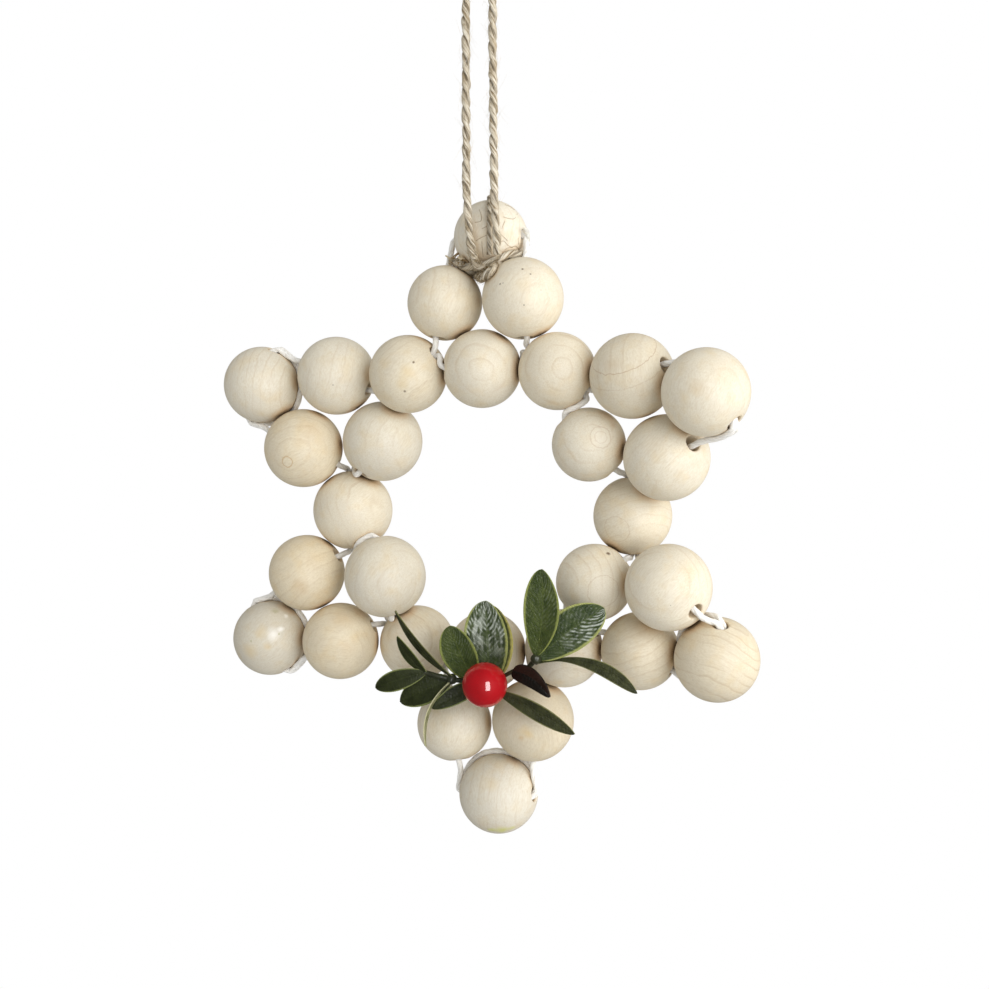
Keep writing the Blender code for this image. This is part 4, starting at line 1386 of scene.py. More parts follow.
def growth_rings(finish, cut, bent, ring_width):
    """How dark each ring's line is, from 0 to 1. The wave's period is 0.314 over its scale."""
    wave = finish.node("TexWave", {"Vector": finish.stretch(bent, RINGS_ALONG_GRAIN),
                                   "Scale": WAVE_PERIOD / ring_width, "Distortion": 0.3,
                                   "Detail": 2.0, "Detail Scale": 0.6},
                       wave_type="RINGS", rings_direction="Z", wave_profile="SAW")
    line = finish.ramp(wave.outputs["Fac"], (0.0, grey(0.0)), (0.70, grey(0.12)), (0.90, grey(1.0)),
                       (0.97, grey(0.0)))
    comes = finish.fade(finish.noise(cut, 0.11, detail=1.0), (0.38, 0.62), (0.15, 1.0))
    return finish.maths("MULTIPLY", line, comes)


print("a ring 3 mm wide has the wave's scale", round(WAVE_PERIOD / 3, 3))

# %% [markdown]
# ## Painted shade in the creases between beads
#
# Where two beads touch, shade falls in a thin dark line, with a warm edge where light bounces off the
# wood. Both are painted into the colour: painted shade and painted bounce light. Painting them on a
# picture would take a mask for each joint. An Ambient Occlusion node finds them all, because it tells
# how much of the near surroundings is closed in.

# %% Painted shade in the creases between beads
CREASE = 2.6 * MM
PAINTED_BOUNCE_GLOW = screen(212, 172, 116)
PAINTED_CREASE_SHADE = screen(74, 48, 24)


def with_painted_crease_shade(finish, colour):
    """A colour with a painted warm edge of bounce light and a painted dark line of shade in creases.
    """
    open_sky = finish.node("AmbientOcclusion", {"Distance": CREASE}, samples=8).outputs["AO"]
    edge = finish.fade(open_sky, (0.25, 0.85), (0.50, 0.0))
    colour = finish.blend(edge, colour, PAINTED_BOUNCE_GLOW)
    line = finish.fade(open_sky, (0.05, 0.28), (0.95, 0.0))
    return finish.blend(line, colour, PAINTED_CREASE_SHADE)


print("a crease is looked for within", round(CREASE / MM, 1), "mm")

# %% [markdown]
# ## Pale wood
#
# Bare wood is many faint things at once. Soft clouds are warmer and cooler wood, long fine
# streaks are the fibres, small brown specks are pores, and a livelier mottle is what sanding
# leaves. Each is noise, stretched along the grain where the real thing runs with it, and each is
# mixed in faintly, because a single strong pattern would look printed.

# %% The wood finish
PALE_WOOD = (235, 228.5, 211)
COOL_WOOD = (226, 220, 205)
WARM_WOOD = (229, 214, 183)
TAN_WOOD = (202, 180, 146)
WARMER = np.array([0, -3, -8])
PORE = screen(158, 128, 88)
SANDED = screen(247, 245, 240)
CLOUDS = 0.13
PATCHES = 0.24
FIBRES = (4.2, 4.2, 0.20)
PORES = (5.5, 5.5, 0.9)
MOTTLE = (2.6, 2.6, 1.1)
WOOD_RELIEF = 0.012 * MM


def wood_finish(bead, grain, number):
    """One bead's wood: the finish in the making, its colour and its roughness.

    The pith's distance and the ring width are in millimetres, and the rings' share says how
    plainly they show. The scales of the noises are per millimetre, the last with the grain.
    """
    finish = Finish(f"wood_{bead.name}")
    cut, bent = plank_places(finish, bead, grain, number)
    rings = growth_rings(finish, cut, bent, grain.ring_width)
    fibres = finish.noise(finish.stretch(bent, FIBRES), 1.0, detail=3.0, roughness=0.65)
    pores = finish.noise(finish.stretch(bent, PORES), 1.0, detail=1.0)
    clouds = finish.noise(cut, CLOUDS, detail=3.0)
    patches = finish.noise(cut, PATCHES)
    mottle = finish.noise(finish.stretch(bent, MOTTLE), 1.0, detail=3.0, roughness=0.7)
    warmed = [np.array(tone) + grain.warmth * WARMER for tone in (PALE_WOOD, COOL_WOOD, WARM_WOOD)]
    pale, cool, warm, tan = toned([*warmed, TAN_WOOD], grain.shade)
    colour = finish.blend(finish.fade(clouds, (0.35, 0.65), (0.0, 0.8)), pale, cool)
    colour = finish.blend(finish.fade(patches, (0.50, 0.80), (0.0, 0.7)), colour, warm)
    colour = finish.blend(finish.maths("MULTIPLY", rings, grain.rings), colour, tan)
    colour = finish.blend(finish.fade(fibres, (0.45, 0.80), (0.0, 0.40)), colour, tan)
    colour = finish.blend(finish.fade(pores, (0.76, 0.82), (0.0, 0.4)), colour, PORE)
    sanded = finish.ramp(mottle, (0.34, SANDED), (0.60, grey(1.0)))
    # Painted shade and painted bounce light in the creases between beads.
    colour = with_painted_crease_shade(finish, finish.blend(1.0, colour, sanded, "MULTIPLY"))
    rough = finish.fade(fibres, (0.3, 0.8), (0.50, 0.64))
    finish.relief(finish.maths("ADD", fibres, finish.maths("MULTIPLY", rings, 0.3)), WOOD_RELIEF)
    return finish, colour, rough


print("wood relief:", round(WOOD_RELIEF / MM, 3), "mm")

# %% [markdown]
# ## Marks on single beads
#
# The beads of the photo are all a little different: one has brown specks, one a knot, one a
# yellow-green stain. They could be painted on a picture for each bead, but a few nodes are
# sharper and need no picture. A mark is a spot of colour round the place that a pixel shows. With
# a ring's radius it is a thin line at that distance instead, as where a growth ring is cut.
# Places are in the photo's pixels, and sizes and ring radii in millimetres.

# %% Marks on single beads
Mark = namedtuple("Mark", "x y size tone strength ring", defaults=(0.0,))
SPECK = screen(92, 64, 38)
TAN = screen(196, 164, 118)
STAIN = screen(204, 202, 128)
GLUE = screen(243, 240, 232)
OLIVE = screen(176, 170, 128)
LINE = screen(186, 160, 128)
PALE = screen(240, 232, 214)
OCHRE = screen(214, 188, 134)
SPOT_RAGGED = 1.6
RING_RAGGED = 0.8
MARKS = {
    "shoulder_top_cw": [Mark(522.5, 269, 0.27, SPECK, 0.9), Mark(530.5, 274, 0.20, SPECK, 0.8),
                        Mark(500, 284, 0.20, SPECK, 0.7), Mark(503, 283, 0.16, SPECK, 0.6),
                        Mark(541, 290, 0.14, SPECK, 0.5), Mark(524, 305, 0.16, SPECK, 0.7)],
    "corner_top_left": [Mark(413.6, 362.2, 0.28, SPECK, 0.9), Mark(404.8, 391.4, 0.30, SPECK, 0.9),
                        Mark(405.9, 409.8, 0.2, TAN, 0.8), Mark(428.5, 402, 0.18, TAN, 0.8),
                        Mark(408, 372, 1.8, OCHRE, 0.45), Mark(402, 384, 1.5, OCHRE, 0.35)],
    "shoulder_upper_left_cw": [Mark(333, 385, 0.16, SPECK, 0.7)],
    "shoulder_upper_left_ccw": [Mark(287, 462, 0.16, TAN, 0.7, 1.5), Mark(311, 432, 3.0, TAN, 0.30)],
    "shoulder_upper_right_ccw": [Mark(619, 341, 0.10, LINE, 0.7, 9.0),
                                 Mark(619, 341, 0.10, LINE, 0.3, 12.4),
                                 Mark(612, 364, 2.0, TAN, 0.22)],
    "shoulder_upper_right_cw": [Mark(688, 440, 0.20, SPECK, 0.9), Mark(655, 446, 2.4, TAN, 0.12)],
    "tip_upper_right": [Mark(697, 387, 1.8, TAN, 0.22), Mark(724, 372, 3.0, TAN, 0.12)],
    "side_upper_right": [Mark(601, 438, 2.2, PALE, 0.3), Mark(601, 437, 0.14, LINE, 0.35, 2.7),
                         Mark(601, 437, 0.12, LINE, 0.3, 1.5),
                         Mark(613, 425, 0.9, TAN, 0.45)],
    "corner_right": [Mark(616, 530, 0.12, LINE, 0.3, 3.4), Mark(648, 500, 0.12, SPECK, 0.3)],
    # On side_lower_right the large dark speck near the top is painted shade, the shadow in a bore's
    # mouth.
    "side_lower_right": [Mark(604, 592, 0.12, LINE, 0.35, 4.0), Mark(608, 553.5, 0.5, SPECK, 0.9)],
    "shoulder_lower_right_ccw": [Mark(670.6, 605.5, 0.14, SPECK, 0.6)],
    "shoulder_lower_right_cw": [Mark(641, 626, 3.2, TAN, 0.28)],
    "shoulder_lower_left_cw": [Mark(300, 586, 2.0, TAN, 0.35), Mark(310, 560, 2.6, TAN, 0.15)],
    "shoulder_lower_left_ccw": [Mark(342, 618, 3.2, TAN, 0.22), Mark(346, 648, 2.2, TAN, 0.16)],
    "tip_lower_left": [Mark(273, 634, 1.6, GLUE, 0.7), Mark(281, 629, 0.7, GLUE, 0.8),
                       Mark(286, 616, 0.6, GLUE, 0.7), Mark(275, 611, 0.8, OLIVE, 0.6),
                       Mark(262, 632, 1.6, OCHRE, 0.35), Mark(250, 652, 2.0, OCHRE, 0.40),
                       Mark(267, 646, 0.9, OCHRE, 0.3), Mark(251, 641, 0.25, OLIVE, 0.8),
                       Mark(279, 634, 0.22, OLIVE, 0.8)],
    "tip_bottom": [Mark(503, 830, 1.6, STAIN, 0.9), Mark(492, 830, 1.0, STAIN, 0.8),
                   Mark(512, 828, 0.9, STAIN, 0.7), Mark(491, 784, 1.6, OCHRE, 0.25)],
    "shoulder_bottom_ccw": [Mark(525, 731, 1.5, OCHRE, 0.4), Mark(521, 738, 0.7, TAN, 0.5),
                            Mark(529, 735, 0.9, OCHRE, 0.4),
                            Mark(551, 684, 0.5, SPECK, 0.9)],
    "tip_lower_right": [Mark(693, 680, 0.16, SPECK, 0.5)],
}


def add_mark(finish, colour, place, mark):
    """A spot or a thin ring of another tone, with an edge that noise makes uneven."""
    here = finish.node("TexCoord").outputs["Object"]
    far = finish.node("VectorMath", {0: here, 1: tuple(place)}, operation="DISTANCE")
    size = mark.size * MM
    wobble = finish.noise(here, min(0.5 / size, 900.0), detail=2.0)
    reach = RING_RAGGED * MM if mark.ring else SPOT_RAGGED * size
    far = finish.maths("ADD", far.outputs["Value"],
                       finish.maths("MULTIPLY", finish.maths("SUBTRACT", wobble, 0.5), reach))
    off = finish.maths("ABSOLUTE", finish.maths("SUBTRACT", far, mark.ring * MM))
    share = finish.ramp(finish.maths("DIVIDE", off, 2 * size), (0.15, grey(mark.strength)),
                        (0.75, grey(0.0)))
    return finish.blend(share, colour, mark.tone)


print("marked beads:", len(MARKS))

# %% [markdown]
# ## Grain of the single beads
#
# No two beads were cut alike, and a finish shared by all would show. Where the photo shows how a
# bead's grain runs, it is given here: which way, where the pith lies, how wide the rings are, how
# plainly they show, and how warm and how bright the wood is. Where a bead shows its end grain,
# the grain points at the camera. The other beads' grain is drawn at random, the same each run.

# %% Grain of the single beads
AT_VIEWER = tuple(view_back)
FRONT_LESS = (1, 0.8, 1)
FIRST_SEED = 100
GRAINS = {
    "tip_top": Grain((0.2, 0.3, 1.0), (24, 12), 2.6, 0.25, 0.0, 1.0),
    "tip_upper_right": Grain((0.3, 0.1, 1.0), (30, 40), 3.0, 0.15, 0.6, 0.985),
    "tip_upper_left": Grain((0.05, 0.4, 1.0), (-26, 22), 2.2, 0.35, 0.3, 0.97),
    "tip_lower_left": Grain((0.5, 0.4, 0.6), (30, -30), 3.0, 0.1, 0.3, 0.92),
    "tip_bottom": Grain((0.05, 0.3, 1.0), (-22, 28), 2.4, 0.3, 0.0, 0.94),
    "tip_lower_right": Grain((0.92, 0.12, -0.38), (-10, -9), 2.3, 0.6, 1.6, 0.965),
    "shoulder_upper_right_ccw": Grain((-0.1, 0.2, 1.0), (26, -18), 3.6, 0.3, 1.0, 0.96),
    "shoulder_upper_right_cw": Grain((0.6, 0.1, 0.7), (30, 40), 3.0, 0.2, 0.5, 0.99),
    "shoulder_upper_left_ccw": Grain((0.9, 0.2, 0.5), (18, -12), 2.6, 0.3, 1.8, 0.97),
    "shoulder_upper_left_cw": Grain((0.1, 0.3, 1.0), (-30, 16), 2.6, 0.3, 0.4, 0.98),
    "shoulder_lower_left_cw": Grain((0.8, 0.2, 0.6), (20, 22), 2.8, 0.3, 2.2, 0.97),
    "shoulder_lower_left_ccw": Grain((1.0, 0.2, 0.2), (-24, 16), 2.4, 0.35, 2.1, 0.965),
    "shoulder_bottom_ccw": Grain((0.2, -0.3, 1.0), (24, 20), 2.4, 0.15, 1.8, 0.93),
    "shoulder_bottom_cw": Grain((0.2, 0.3, 1.0), (28, 20), 3.0, 0.3, 0.5, 0.97),
    "shoulder_top_ccw": Grain((0.3, 0.2, 1.0), (-30, 24), 2.8, 0.3, 0.9, 0.99),
    "shoulder_top_cw": Grain((0.5, 0.3, 0.9), (34, 20), 3.0, 0.2, 0.7, 0.98),
    "corner_top_left": Grain((0.7, 0.3, 0.7), (20, 14), 2.4, 0.35, 1.2, 0.97),
    "corner_top_right": Grain(AT_VIEWER, (-0.4, 0.5), 3.0, 0.5, 0.9, 0.99),
    "side_top": Grain(AT_VIEWER, (0.6, 0.8), 3.4, 0.4, 0.5, 0.98),
    "side_upper_left": Grain((0.3, 0.6, 0.8), (30, -24), 2.8, 0.2, 0.2, 0.96),
    "side_upper_right": Grain(AT_VIEWER, (-2.2, -1.0), 2.6, 0.35, 0.3, 0.98),
    "side_lower_left": Grain((0.5, 0.3, 1.0), (28, 28), 2.8, 0.25, 0.3, 0.96),
    "shoulder_lower_right_ccw": Grain((0.7, 0.2, 0.8), (-28, 22), 2.6, 0.35, 0.6, 0.99),
    "shoulder_lower_right_cw": Grain((0.9, 0.3, 0.4), (24, 18), 2.4, 0.35, 1.5, 0.97),
}


def grain_of(bead, number):
    """A bead's own grain, or one drawn for it."""
    if bead.name in GRAINS:
        return GRAINS[bead.name]
    draw = np.random.default_rng(FIRST_SEED + number)
    return Grain(unit(draw.normal(size=3) * FRONT_LESS), draw.uniform(14, 34, 2),
                 draw.uniform(2.2, 3.2), draw.uniform(0.25, 0.45), draw.uniform(0.2, 1.2),
                 draw.uniform(0.96, 0.99))


for number, bead in enumerate(beads.values()):
    finish, colour, rough = wood_finish(bead, grain_of(bead, number), number)
    for mark in MARKS.get(bead.name, []):
        colour = add_mark(finish, colour, seen_place(bead, mark.x, mark.y), mark)
    wood = finish.settle(colour, rough, Specular_IOR_Level=0.28)
    points, faces = turned_bead(bead)
    piece = mesh_piece(f"bead_{bead.name}", points, faces, wood, "pale_wood")
    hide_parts(bead.name)
print("turned", len(beads), "beads")

# %% [markdown]
# ## Leaves
#
# The leaves are moulded plastic: a blade folded up a little at the midrib, with sunk veins, flesh
# that swells between them, a thin pale rim and a satin gloss. A flat plane with a picture would
# show no thickness at its rim, so a blade is one closed surface. Its section is a flat ring,
# about cos a across and sin a through the thickness, carried from base to tip.

# %% The shape of a leaf
Leaf = namedtuple("Leaf", "base tip width roll bow sway pointed belly")
LEAF_THICK = 0.6 * MM
PETIOLE = 1.1 * MM
LEFT_LEAVES = {
    "long_narrow": Leaf((-3.6, -12.5, -40.0), (-17.6, -16.0, -23.6), 3.8, -34, 0.6, -1.2, 0.7, 1.0),
    "short_narrow": Leaf((-10.2, -13.0, -39.7), (-17.3, -15.6, -30.2), 4.2, -22, 0.4, -0.3, 0.65, 1.0),
    "round_end": Leaf((-10.4, -13.0, -39.4), (-24.5, -13.6, -44.5), 5.4, -4, 0.8, 0.4, 0.55, 1.1),
    "broad_dark": Leaf((-3.6, -11.9, -40.9), (-18.1, -12.3, -47.9), 7.6, 10, 0.6, 0.2, 0.6, 1.0),
    "curled": Leaf((-3.9, -13.0, -41.5), (-10.0, -14.6, -58.2), 4.6, 74, 2.2, 0.4, 0.8, 0.85),
    "broad_upright": Leaf((5.8, -10.2, -41.8), (6.1, -13.6, -20.0), 11.8, 0, -0.2, 0.0, 0.5, 1.15),
    "behind_upright": Leaf((5.6, -9.9, -41.8), (7.1, -12.2, -21.2), 11.4, 6, -0.2, 0.5, 0.5, 1.1),
    "small_upright": Leaf((1.6, -10.6, -41.2), (-4.0, -13.0, -27.1), 10.2, -6, 0.2, 0.0, 0.5, 1.1),
    "low_left": Leaf((3.6, -10.3, -41.6), (-8.4, -14.0, -48.4), 4.8, 4, 0.1, 0.2, 0.6, 0.9),
    "low_right": Leaf((6.9, -10.5, -42.9), (29.3, -13.0, -51.6), 4.7, 6, 0.8, -0.9, 0.6, 1.25),
}
RIGHT_LEAVES = {
    "upright": Leaf((19.0, -12.6, -33.2), (21.4, -15.0, -11.1), 9.6, -4, 0.4, 1.2, 0.55, 1.2),
    "broad_slanted": Leaf((19.4, -12.2, -33.9), (36.9, -14.0, -19.8), 10.4, 4, 0.2, -0.8, 0.5, 1.25),
    "arched": Leaf((19.6, -12.2, -34.6), (45.3, -14.2, -39.8), 3.5, -14, 1.0, -3.3, 0.6, 2.1),
}
MAROON_LEAF = Leaf((13.4, -13.6, -36.9), (23.7, -15.2, -42.3), 5.3, 8, 0.4, -1.7, 0.5, 0.65)
VEIN_DEPTH = 0.16 * MM
VEINS = 7
VEIN_SPREAD = 1.15
VEIN_SLANT = 0.32
MIDRIB_DEPTH = 0.22 * MM
MIDRIB_WIDTH = 0.07
LEAF_STATIONS = 88
LEAF_SIDES = 44
RIM_THINS = 0.3
FOLD = 0.22


def laid_out(place):
    """A point given in twentieths of a bead from the star's middle, in metres."""
    return STAR_MIDDLE + np.array(place) * SHARE


def leaf_axes(leaf):
    """A leaf's base, the way to its tip, and the directions over and across its blade."""
    start = laid_out(leaf.base)
    length = laid_out(leaf.tip) - start
    forward = unit(length)
    lift = across(FRONT, forward)
    angle = math.radians(leaf.roll)
    normal = lift * math.cos(angle) + np.cross(forward, lift) * math.sin(angle)
    return start, length, normal, np.cross(forward, normal)


def skin_height(u, side, a, fullness):
    """How far a leaf's skin stands off its middle sheet.

    It is sin a of half the thickness, which thins at the rim. On the upper side the flesh swells
    by |cos(2 pi veins (spread u - slant side))|, and the midrib is a groove.
    """
    wave = np.cos(2 * math.pi * VEINS * (u * VEIN_SPREAD - side * VEIN_SLANT))
    flesh = VEIN_DEPTH * np.abs(wave) ** 0.6 * fullness * (1 - side ** 4)
    midrib = -MIDRIB_DEPTH * np.exp(-(side / MIDRIB_WIDTH) ** 2)
    upper = np.maximum(np.sin(a), 0) ** 0.5
    return np.sin(a) * LEAF_THICK / 2 * (1 - RIM_THINS * side) + upper * (flesh + midrib)


def leaf_blade(leaf):
    """Points, faces and blade places of a leaf.

    Half the width follows sin(pi u^belly)^pointed, never under the petiole's, where u runs from
    base to tip at stations that crowd towards both ends. Across it v runs from -1 to 1, about as
    cos a. The middle sheet folds up from the midrib by |v|^1.5, and its spine bows and sways as
    4 u (1 - u).
    """
    start, length, normal, span = leaf_axes(leaf)
    u = (1 - np.cos(np.linspace(0, math.pi, LEAF_STATIONS))) / 2
    fullness = np.sin(math.pi * u ** leaf.belly).clip(0) ** leaf.pointed
    half = np.maximum(leaf.width * SHARE / 2 * fullness, PETIOLE / 2 * (1 - u) + 0.05 * MM)
    a = np.linspace(0, 2 * math.pi, LEAF_SIDES, endpoint=False)
    v = np.sign(np.cos(a)) * np.abs(np.cos(a)) ** 0.85
    side = np.abs(v)[None]
    height = skin_height(u[:, None], side, a[None], fullness[:, None])
    height = height + half[:, None] * FOLD * side ** 1.5
    arch = (4 * u * (1 - u))[:, None]
    spine = start + length * u[:, None] + (normal * leaf.bow + span * leaf.sway) * SHARE * arch
    points = (spine[:, None] + span * (half[:, None] * v)[..., None] + normal * height[..., None])
    blade = np.stack(np.broadcast_arrays(u[:, None], v[None], np.sin(a)[None]), axis=-1)
    return points.reshape(-1, 3), tube_faces(1, LEAF_STATIONS, LEAF_SIDES), blade.reshape(-1, 3)


print("a leaf has", LEAF_STATIONS * LEAF_SIDES, "points")

# %% [markdown]
# ## The leaves' finish
#
# The leaves differ in tone, from fresh green to brownish, and some have a painted sheen on their upper
# part: whitish streaks and patches painted where the lamp's reflection falls on the real leaves. One
# finish with a look for each kind does them all. It reads where a place lies on the blade, so that
# veins, painted sheen and rim follow the leaf's own shape, which a pattern in space couldn't.

# %% The leaves' looks
# A look's painted sheen is whitish highlight painted into the colour for the lamp's reflection on the
# leaf, with a strength for each half and for a sheet.
LeafLook = namedtuple("LeafLook", "deep light rim gloss net frost lower", defaults=(None, None))
Frost = namedtuple("Frost", "left right sheet")
LEAF_LOOKS = {
    "fresh": LeafLook((58, 72, 26), (90, 102, 44), (150, 158, 82), 0.42, 0.08,
                      Frost(0.04, 0.10, 0.0)),
    "wide_sheen": LeafLook((48, 62, 30), (86, 100, 56), (160, 166, 94), 0.36, 0.08,
                       Frost(0.74, 0.66, 0.75)),
    "streaked_sheen": LeafLook((50, 66, 30), (88, 102, 54), (176, 180, 104), 0.36, 0.08,
                        Frost(0.12, 0.80, 0.30)),
    "dark": LeafLook((39, 46, 14), (56, 64, 22), (126, 134, 74), 0.45, 0.05),
    "brownish": LeafLook((48, 52, 24), (74, 78, 40), (132, 132, 80), 0.45, 0.08),
    "yellowish": LeafLook((70, 78, 40), (112, 116, 62), (200, 190, 104), 0.45, 0.08),
    "curled": LeafLook((104, 106, 70), (168, 166, 124), (204, 200, 160), 0.45, 0.05),
    # The maroon look's lower colour is painted shade: a near-black on the half of the leaf that lies
    # in shadow.
    "maroon": LeafLook((36, 18, 6), (50, 26, 12), (30, 26, 14), 0.45, 0.04, lower=(8, 10, 2)),
}
LOOK_OF = {"upright": "fresh", "small_upright": "fresh", "broad_upright": "wide_sheen",
           "broad_slanted": "streaked_sheen", "behind_upright": "yellowish", "arched": "brownish",
           "low_right": "brownish", "long_narrow": "brownish", "curled": "curled"}
OTHER_LOOK = "dark"
# The colour of the painted sheen, a whitish highlight.
PAINTED_SHEEN_COLOUR = screen(212, 218, 206)
print("looks of leaves:", sorted(LEAF_LOOKS))

# %% [markdown]
# ## From a look to a finish
#
# The real leaves have a fine net in their skin, dark side veins, a pale midrib and a pale rim.
# Painting them on a picture would need the leaf laid out flat. Here each is a line where a
# value of the blade's places passes a limit, and the layers are mixed in from the flesh up to
# the rim. The blade's own wave gives the side veins, so that the colour meets the relief.

# %% The leaves' finish
def halved(finish, v, left, right):
    """One value for a leaf's left half and another for its right."""
    return finish.ramp(finish.maths("ADD", v, 0.5), (0.46, left), (0.54, right))


def between_veins(finish, u, side, blade):
    """How far a place is from the side veins, 0 on one and 1 midway: the blade's wave, bent."""
    along = finish.maths("MULTIPLY", u, VEIN_SPREAD)
    slant = finish.maths("SUBTRACT", along, finish.maths("MULTIPLY", side, VEIN_SLANT))
    bent = finish.noise(finish.stretch(blade, (5, 2.2, 1)), 1.0, detail=1.0)
    slant = finish.maths("ADD", slant, finish.maths("MULTIPLY", bent, 0.09))
    wave = finish.maths("COSINE", finish.maths("MULTIPLY", slant, 2 * math.pi * VEINS))
    return finish.maths("ABSOLUTE", wave)


def with_painted_sheen(finish, colour, frost, blade, u, v, vein):
    """A colour with a painted sheen, a whitish highlight, between the side veins of a leaf's upper
    part.

    It has a strength for each half of the leaf, and joins up to a sheet in places.
    """
    ridges = finish.fade(vein, (0.55, 0.95), (0.0, 1.0))
    flat = finish.noise(finish.stretch(blade, (3.4, 2.0, 1), (2.3, 1.1, 0)), 1.0)
    flat = finish.fade(flat, (0.40, 0.56), (0.0, frost.sheet))
    streaks = finish.noise(finish.stretch(blade, (9, 5, 1)), 1.0)
    share = finish.maths("MULTIPLY", finish.maths("MAXIMUM", ridges, flat),
                         finish.fade(streaks, (0.40, 0.58), (0.05, 1.0)))
    share = finish.maths("MULTIPLY", share, finish.fade(u, (0.34, 0.58), (0.08, 1.0)))
    half = halved(finish, v, grey(frost.left), grey(frost.right))
    return finish.blend(finish.maths("MULTIPLY", share, half), colour, PAINTED_SHEEN_COLOUR)


def leaf_finish(name, look):
    """Satin flesh in a fine net, darker along the veins, with a pale rim and a painted sheen on some.
    """
    finish = Finish(f"leaf_{name}")
    deep, light, rim_colour = toned(look[:3], 1)
    blade = finish.node("Attribute", attribute_name="blade").outputs["Vector"]
    u, v, _ = finish.node("SeparateXYZ", {0: blade}).outputs
    side = finish.maths("ABSOLUTE", v)
    vein = between_veins(finish, u, side, blade)
    place = finish.node("TexCoord").outputs["Object"]
    mottle = finish.noise(place, 420.0, detail=3.0)
    net = finish.node("TexVoronoi", {"Vector": place, "Scale": 1300.0}, feature="DISTANCE_TO_EDGE")
    cells = finish.fade(net.outputs["Distance"], (0.0, 0.14), (0.0, 1.0))
    colour = finish.blend(finish.fade(mottle, (0.35, 0.70), (0.0, 0.9)), deep, light)
    # Painted shade: one half of the leaf is darkened to near-black where it lies in shadow.
    if look.lower:
        lower = halved(finish, v, grey(0.0), grey(1.0))
        colour = finish.blend(lower, colour, screen(*look.lower))
    colour = finish.blend(finish.fade(vein, (0.0, 0.35), (0.7, 0.0)), colour, deep)
    seams = finish.maths("SUBTRACT", 0.45, finish.maths("MULTIPLY", cells, 0.45))
    colour = finish.blend(seams, colour, deep)
    # Painted highlight: a whitish sheen where the lamp's reflection falls.
    if look.frost:
        colour = with_painted_sheen(finish, colour, look.frost, blade, u, v, vein)
    edge = finish.maths("ADD", side, finish.maths("MULTIPLY", finish.noise(place, 900.0), 0.08))
    colour = finish.blend(finish.fade(edge, (0.88, 0.96), (0.0, 0.9)), colour, rim_colour)
    colour = finish.blend(finish.fade(side, (0.02, 0.06), (0.6, 0.0)), colour, light)
    finish.relief(finish.maths("ADD", cells, mottle), look.net * MM)
    rough = finish.fade(mottle, (0.3, 0.7), (look.gloss, look.gloss + 0.14))
    return finish.settle(colour, rough, Specular_IOR_Level=0.25)


leaf_finishes = {name: leaf_finish(name, look) for name, look in LEAF_LOOKS.items()}
for name, leaf in {**LEFT_LEAVES, **RIGHT_LEAVES}.items():
    points, faces, blade = leaf_blade(leaf)
    finish = leaf_finishes[LOOK_OF.get(name, OTHER_LOOK)]
    piece = mesh_piece(f"leaf_{name}", points, faces, finish, "leaf_green", {"blade": blade})
    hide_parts("leaf_spray_left" if name in LEFT_LEAVES else "leaf_spray_right")
points, faces, blade = leaf_blade(MAROON_LEAF)
piece = mesh_piece("leaf_maroon", points, faces, leaf_finishes["maroon"], "leaf_maroon",
                   {"blade": blade})
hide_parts("maroon_leaf")
print("leaves:", len(LEFT_LEAVES) + len(RIGHT_LEAVES) + 1)

# %% [markdown]
# ## Stems and hubs
#
# The stems are green wire, and each hub is a small lump of moulded plastic from which the leaves
# grow. A stem is a plain tube along its path. A hub could be sculpted, but at 3 mm a ball with
# random bumps looks the same.

# %% Stems and hubs
STEM = 1.3 * MM
HUB = 2.8 * MM
LEFT_STEM = ((3.6, -7.6, -47.0), (6.3, -9.8, -42.6), (1.2, -11.0, -41.4), (-3.8, -12.1, -40.9),
             (-7.2, -12.9, -40.2), (-10.6, -13.1, -39.5))
RIGHT_STEM = ((14.6, -9.6, -38.4), (19.0, -12.2, -33.8))
MAROON_STEM = ((7.2, -11.2, -41.6), (10.4, -12.6, -39.0), (13.6, -13.5, -37.0))
HUBS = {"berry": LEFT_STEM[1], "left": LEFT_STEM[3], "right": RIGHT_STEM[1]}
HOLLOWS = {
    "left": ("side_bottom", "shoulder_bottom_cw", "shoulder_bottom_ccw"),
    "right": ("corner_bottom_right", "side_bottom", "shoulder_bottom_ccw"),
}
STEM_FOOT_FORWARD = 3.5
BUMPS = (3, 5, 8, 11)
HUB_ROUGHNESS = 0.16


def lump(centre, radius, rough, seed, rows=20, columns=28):
    """A ball with a bumpy surface: radius (1 + rough times a sum of sines of the direction)."""
    draw = np.random.default_rng(seed)
    down = np.linspace(0, math.pi, rows)[:, None]
    turn = np.linspace(0, 2 * math.pi, columns, endpoint=False)[None]
    way = np.stack(np.broadcast_arrays(np.sin(down) * np.cos(turn), np.sin(down) * np.sin(turn),
                                       np.cos(down)), axis=-1)
    bumps = sum(np.sin(way @ draw.normal(size=3) * k + draw.uniform(0, 6)) / k for k in BUMPS)
    points = (centre + way * (radius * (1 + rough * bumps))[..., None])[1:-1].reshape(-1, 3)
    return points, tube_faces(1, rows - 2, columns)


def stem_finish():
    """Green plastic over wire, scuffed a little darker."""
    finish = Finish("stem_green")
    place = finish.node("TexCoord").outputs["Object"]
    mottle = finish.noise(place, 800.0, detail=3.0)
    colour = finish.blend(mottle, screen(26, 30, 18), screen(66, 70, 42))
    finish.relief(mottle, 0.2 * MM)
    return finish.settle(colour, 0.42, Specular_IOR_Level=0.5)


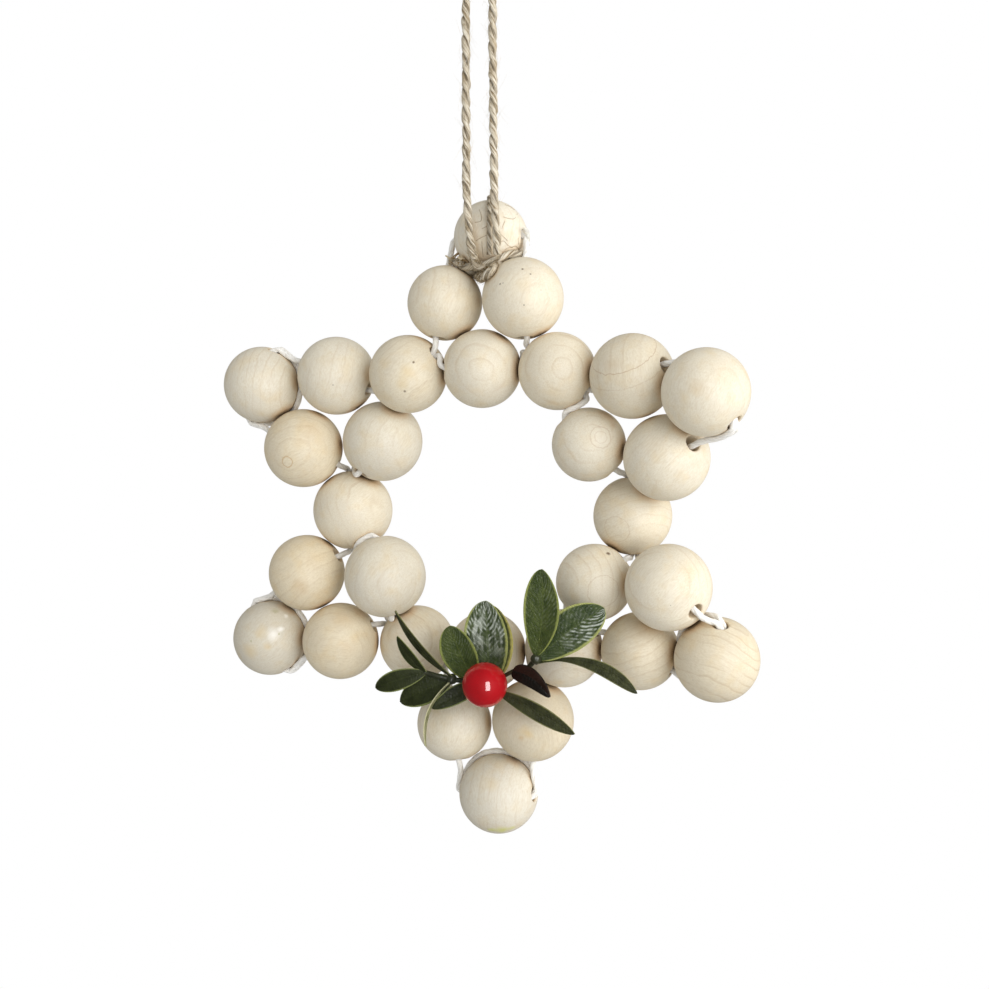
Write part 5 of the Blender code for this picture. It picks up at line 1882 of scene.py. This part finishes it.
stem_green = stem_finish()
for hand, stem in (("left", LEFT_STEM), ("right", RIGHT_STEM)):
    foot = np.mean([beads[name].centre for name in HOLLOWS[hand]], axis=0)
    foot = foot + FRONT * STEM_FOOT_FORWARD * SHARE
    path = smooth_path([foot] + [laid_out(place) for place in stem], 0.3 * MM)
    points, faces = plain_tube(path, STEM)
    piece = mesh_piece(f"stem_{hand}", points, faces, stem_green, "leaf_green")
    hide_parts(f"leaf_spray_{hand}")
for number, (name, place) in enumerate(HUBS.items()):
    points, faces = lump(laid_out(place), HUB / 2, HUB_ROUGHNESS, number)
    mesh_piece(f"hub_{name}", points, faces, stem_green, "leaf_green")
path = smooth_path([laid_out(place) for place in MAROON_STEM], 0.3 * MM)
mesh_piece("stem_maroon", *plain_tube(path, 0.8 * STEM), stem_green, "leaf_green")
print("hubs:", sorted(HUBS))

# %% [markdown]
# ## The berry
#
# The berry is a lacquered ball. Its solid is a coarse one, and a coarse ball shows its facets in
# the mirrored lamp. So the scene has a smooth ball at the same place, with a clear coat over deep
# red.

# %% The berry
BERRY = 11.2 * MM
lowest, highest = (np.array(corner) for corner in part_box("berry"))
berry_middle = (lowest + highest) / 2


def berry_finish():
    """Deep red lacquer with a clear coat."""
    finish = Finish("berry_red")
    place = finish.node("TexCoord").outputs["Object"]
    cloud = finish.noise(place, 260.0, detail=2.0)
    colour = finish.blend(cloud, screen(158, 6, 16), screen(178, 10, 22))
    finish.relief(finish.noise(place, 2200.0), 0.004 * MM)
    return finish.settle(colour, 0.5, Coat_Weight=1.0, Coat_Roughness=0.04, Coat_IOR=1.5,
                         Specular_IOR_Level=0.1)


points, faces = lump(berry_middle, BERRY / 2, 0.0, 0, rows=64, columns=96)
piece = mesh_piece("berry_ball", points, faces, berry_finish(), "berry_red")
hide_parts("berry")
print("berry at", np.round(berry_middle / MM, 1))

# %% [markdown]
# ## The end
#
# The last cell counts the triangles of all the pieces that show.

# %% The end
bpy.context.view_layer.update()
triangles = 0
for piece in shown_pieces():
    piece.data.calc_loop_triangles()
    triangles += len(piece.data.loop_triangles)
print("triangles:", triangles)
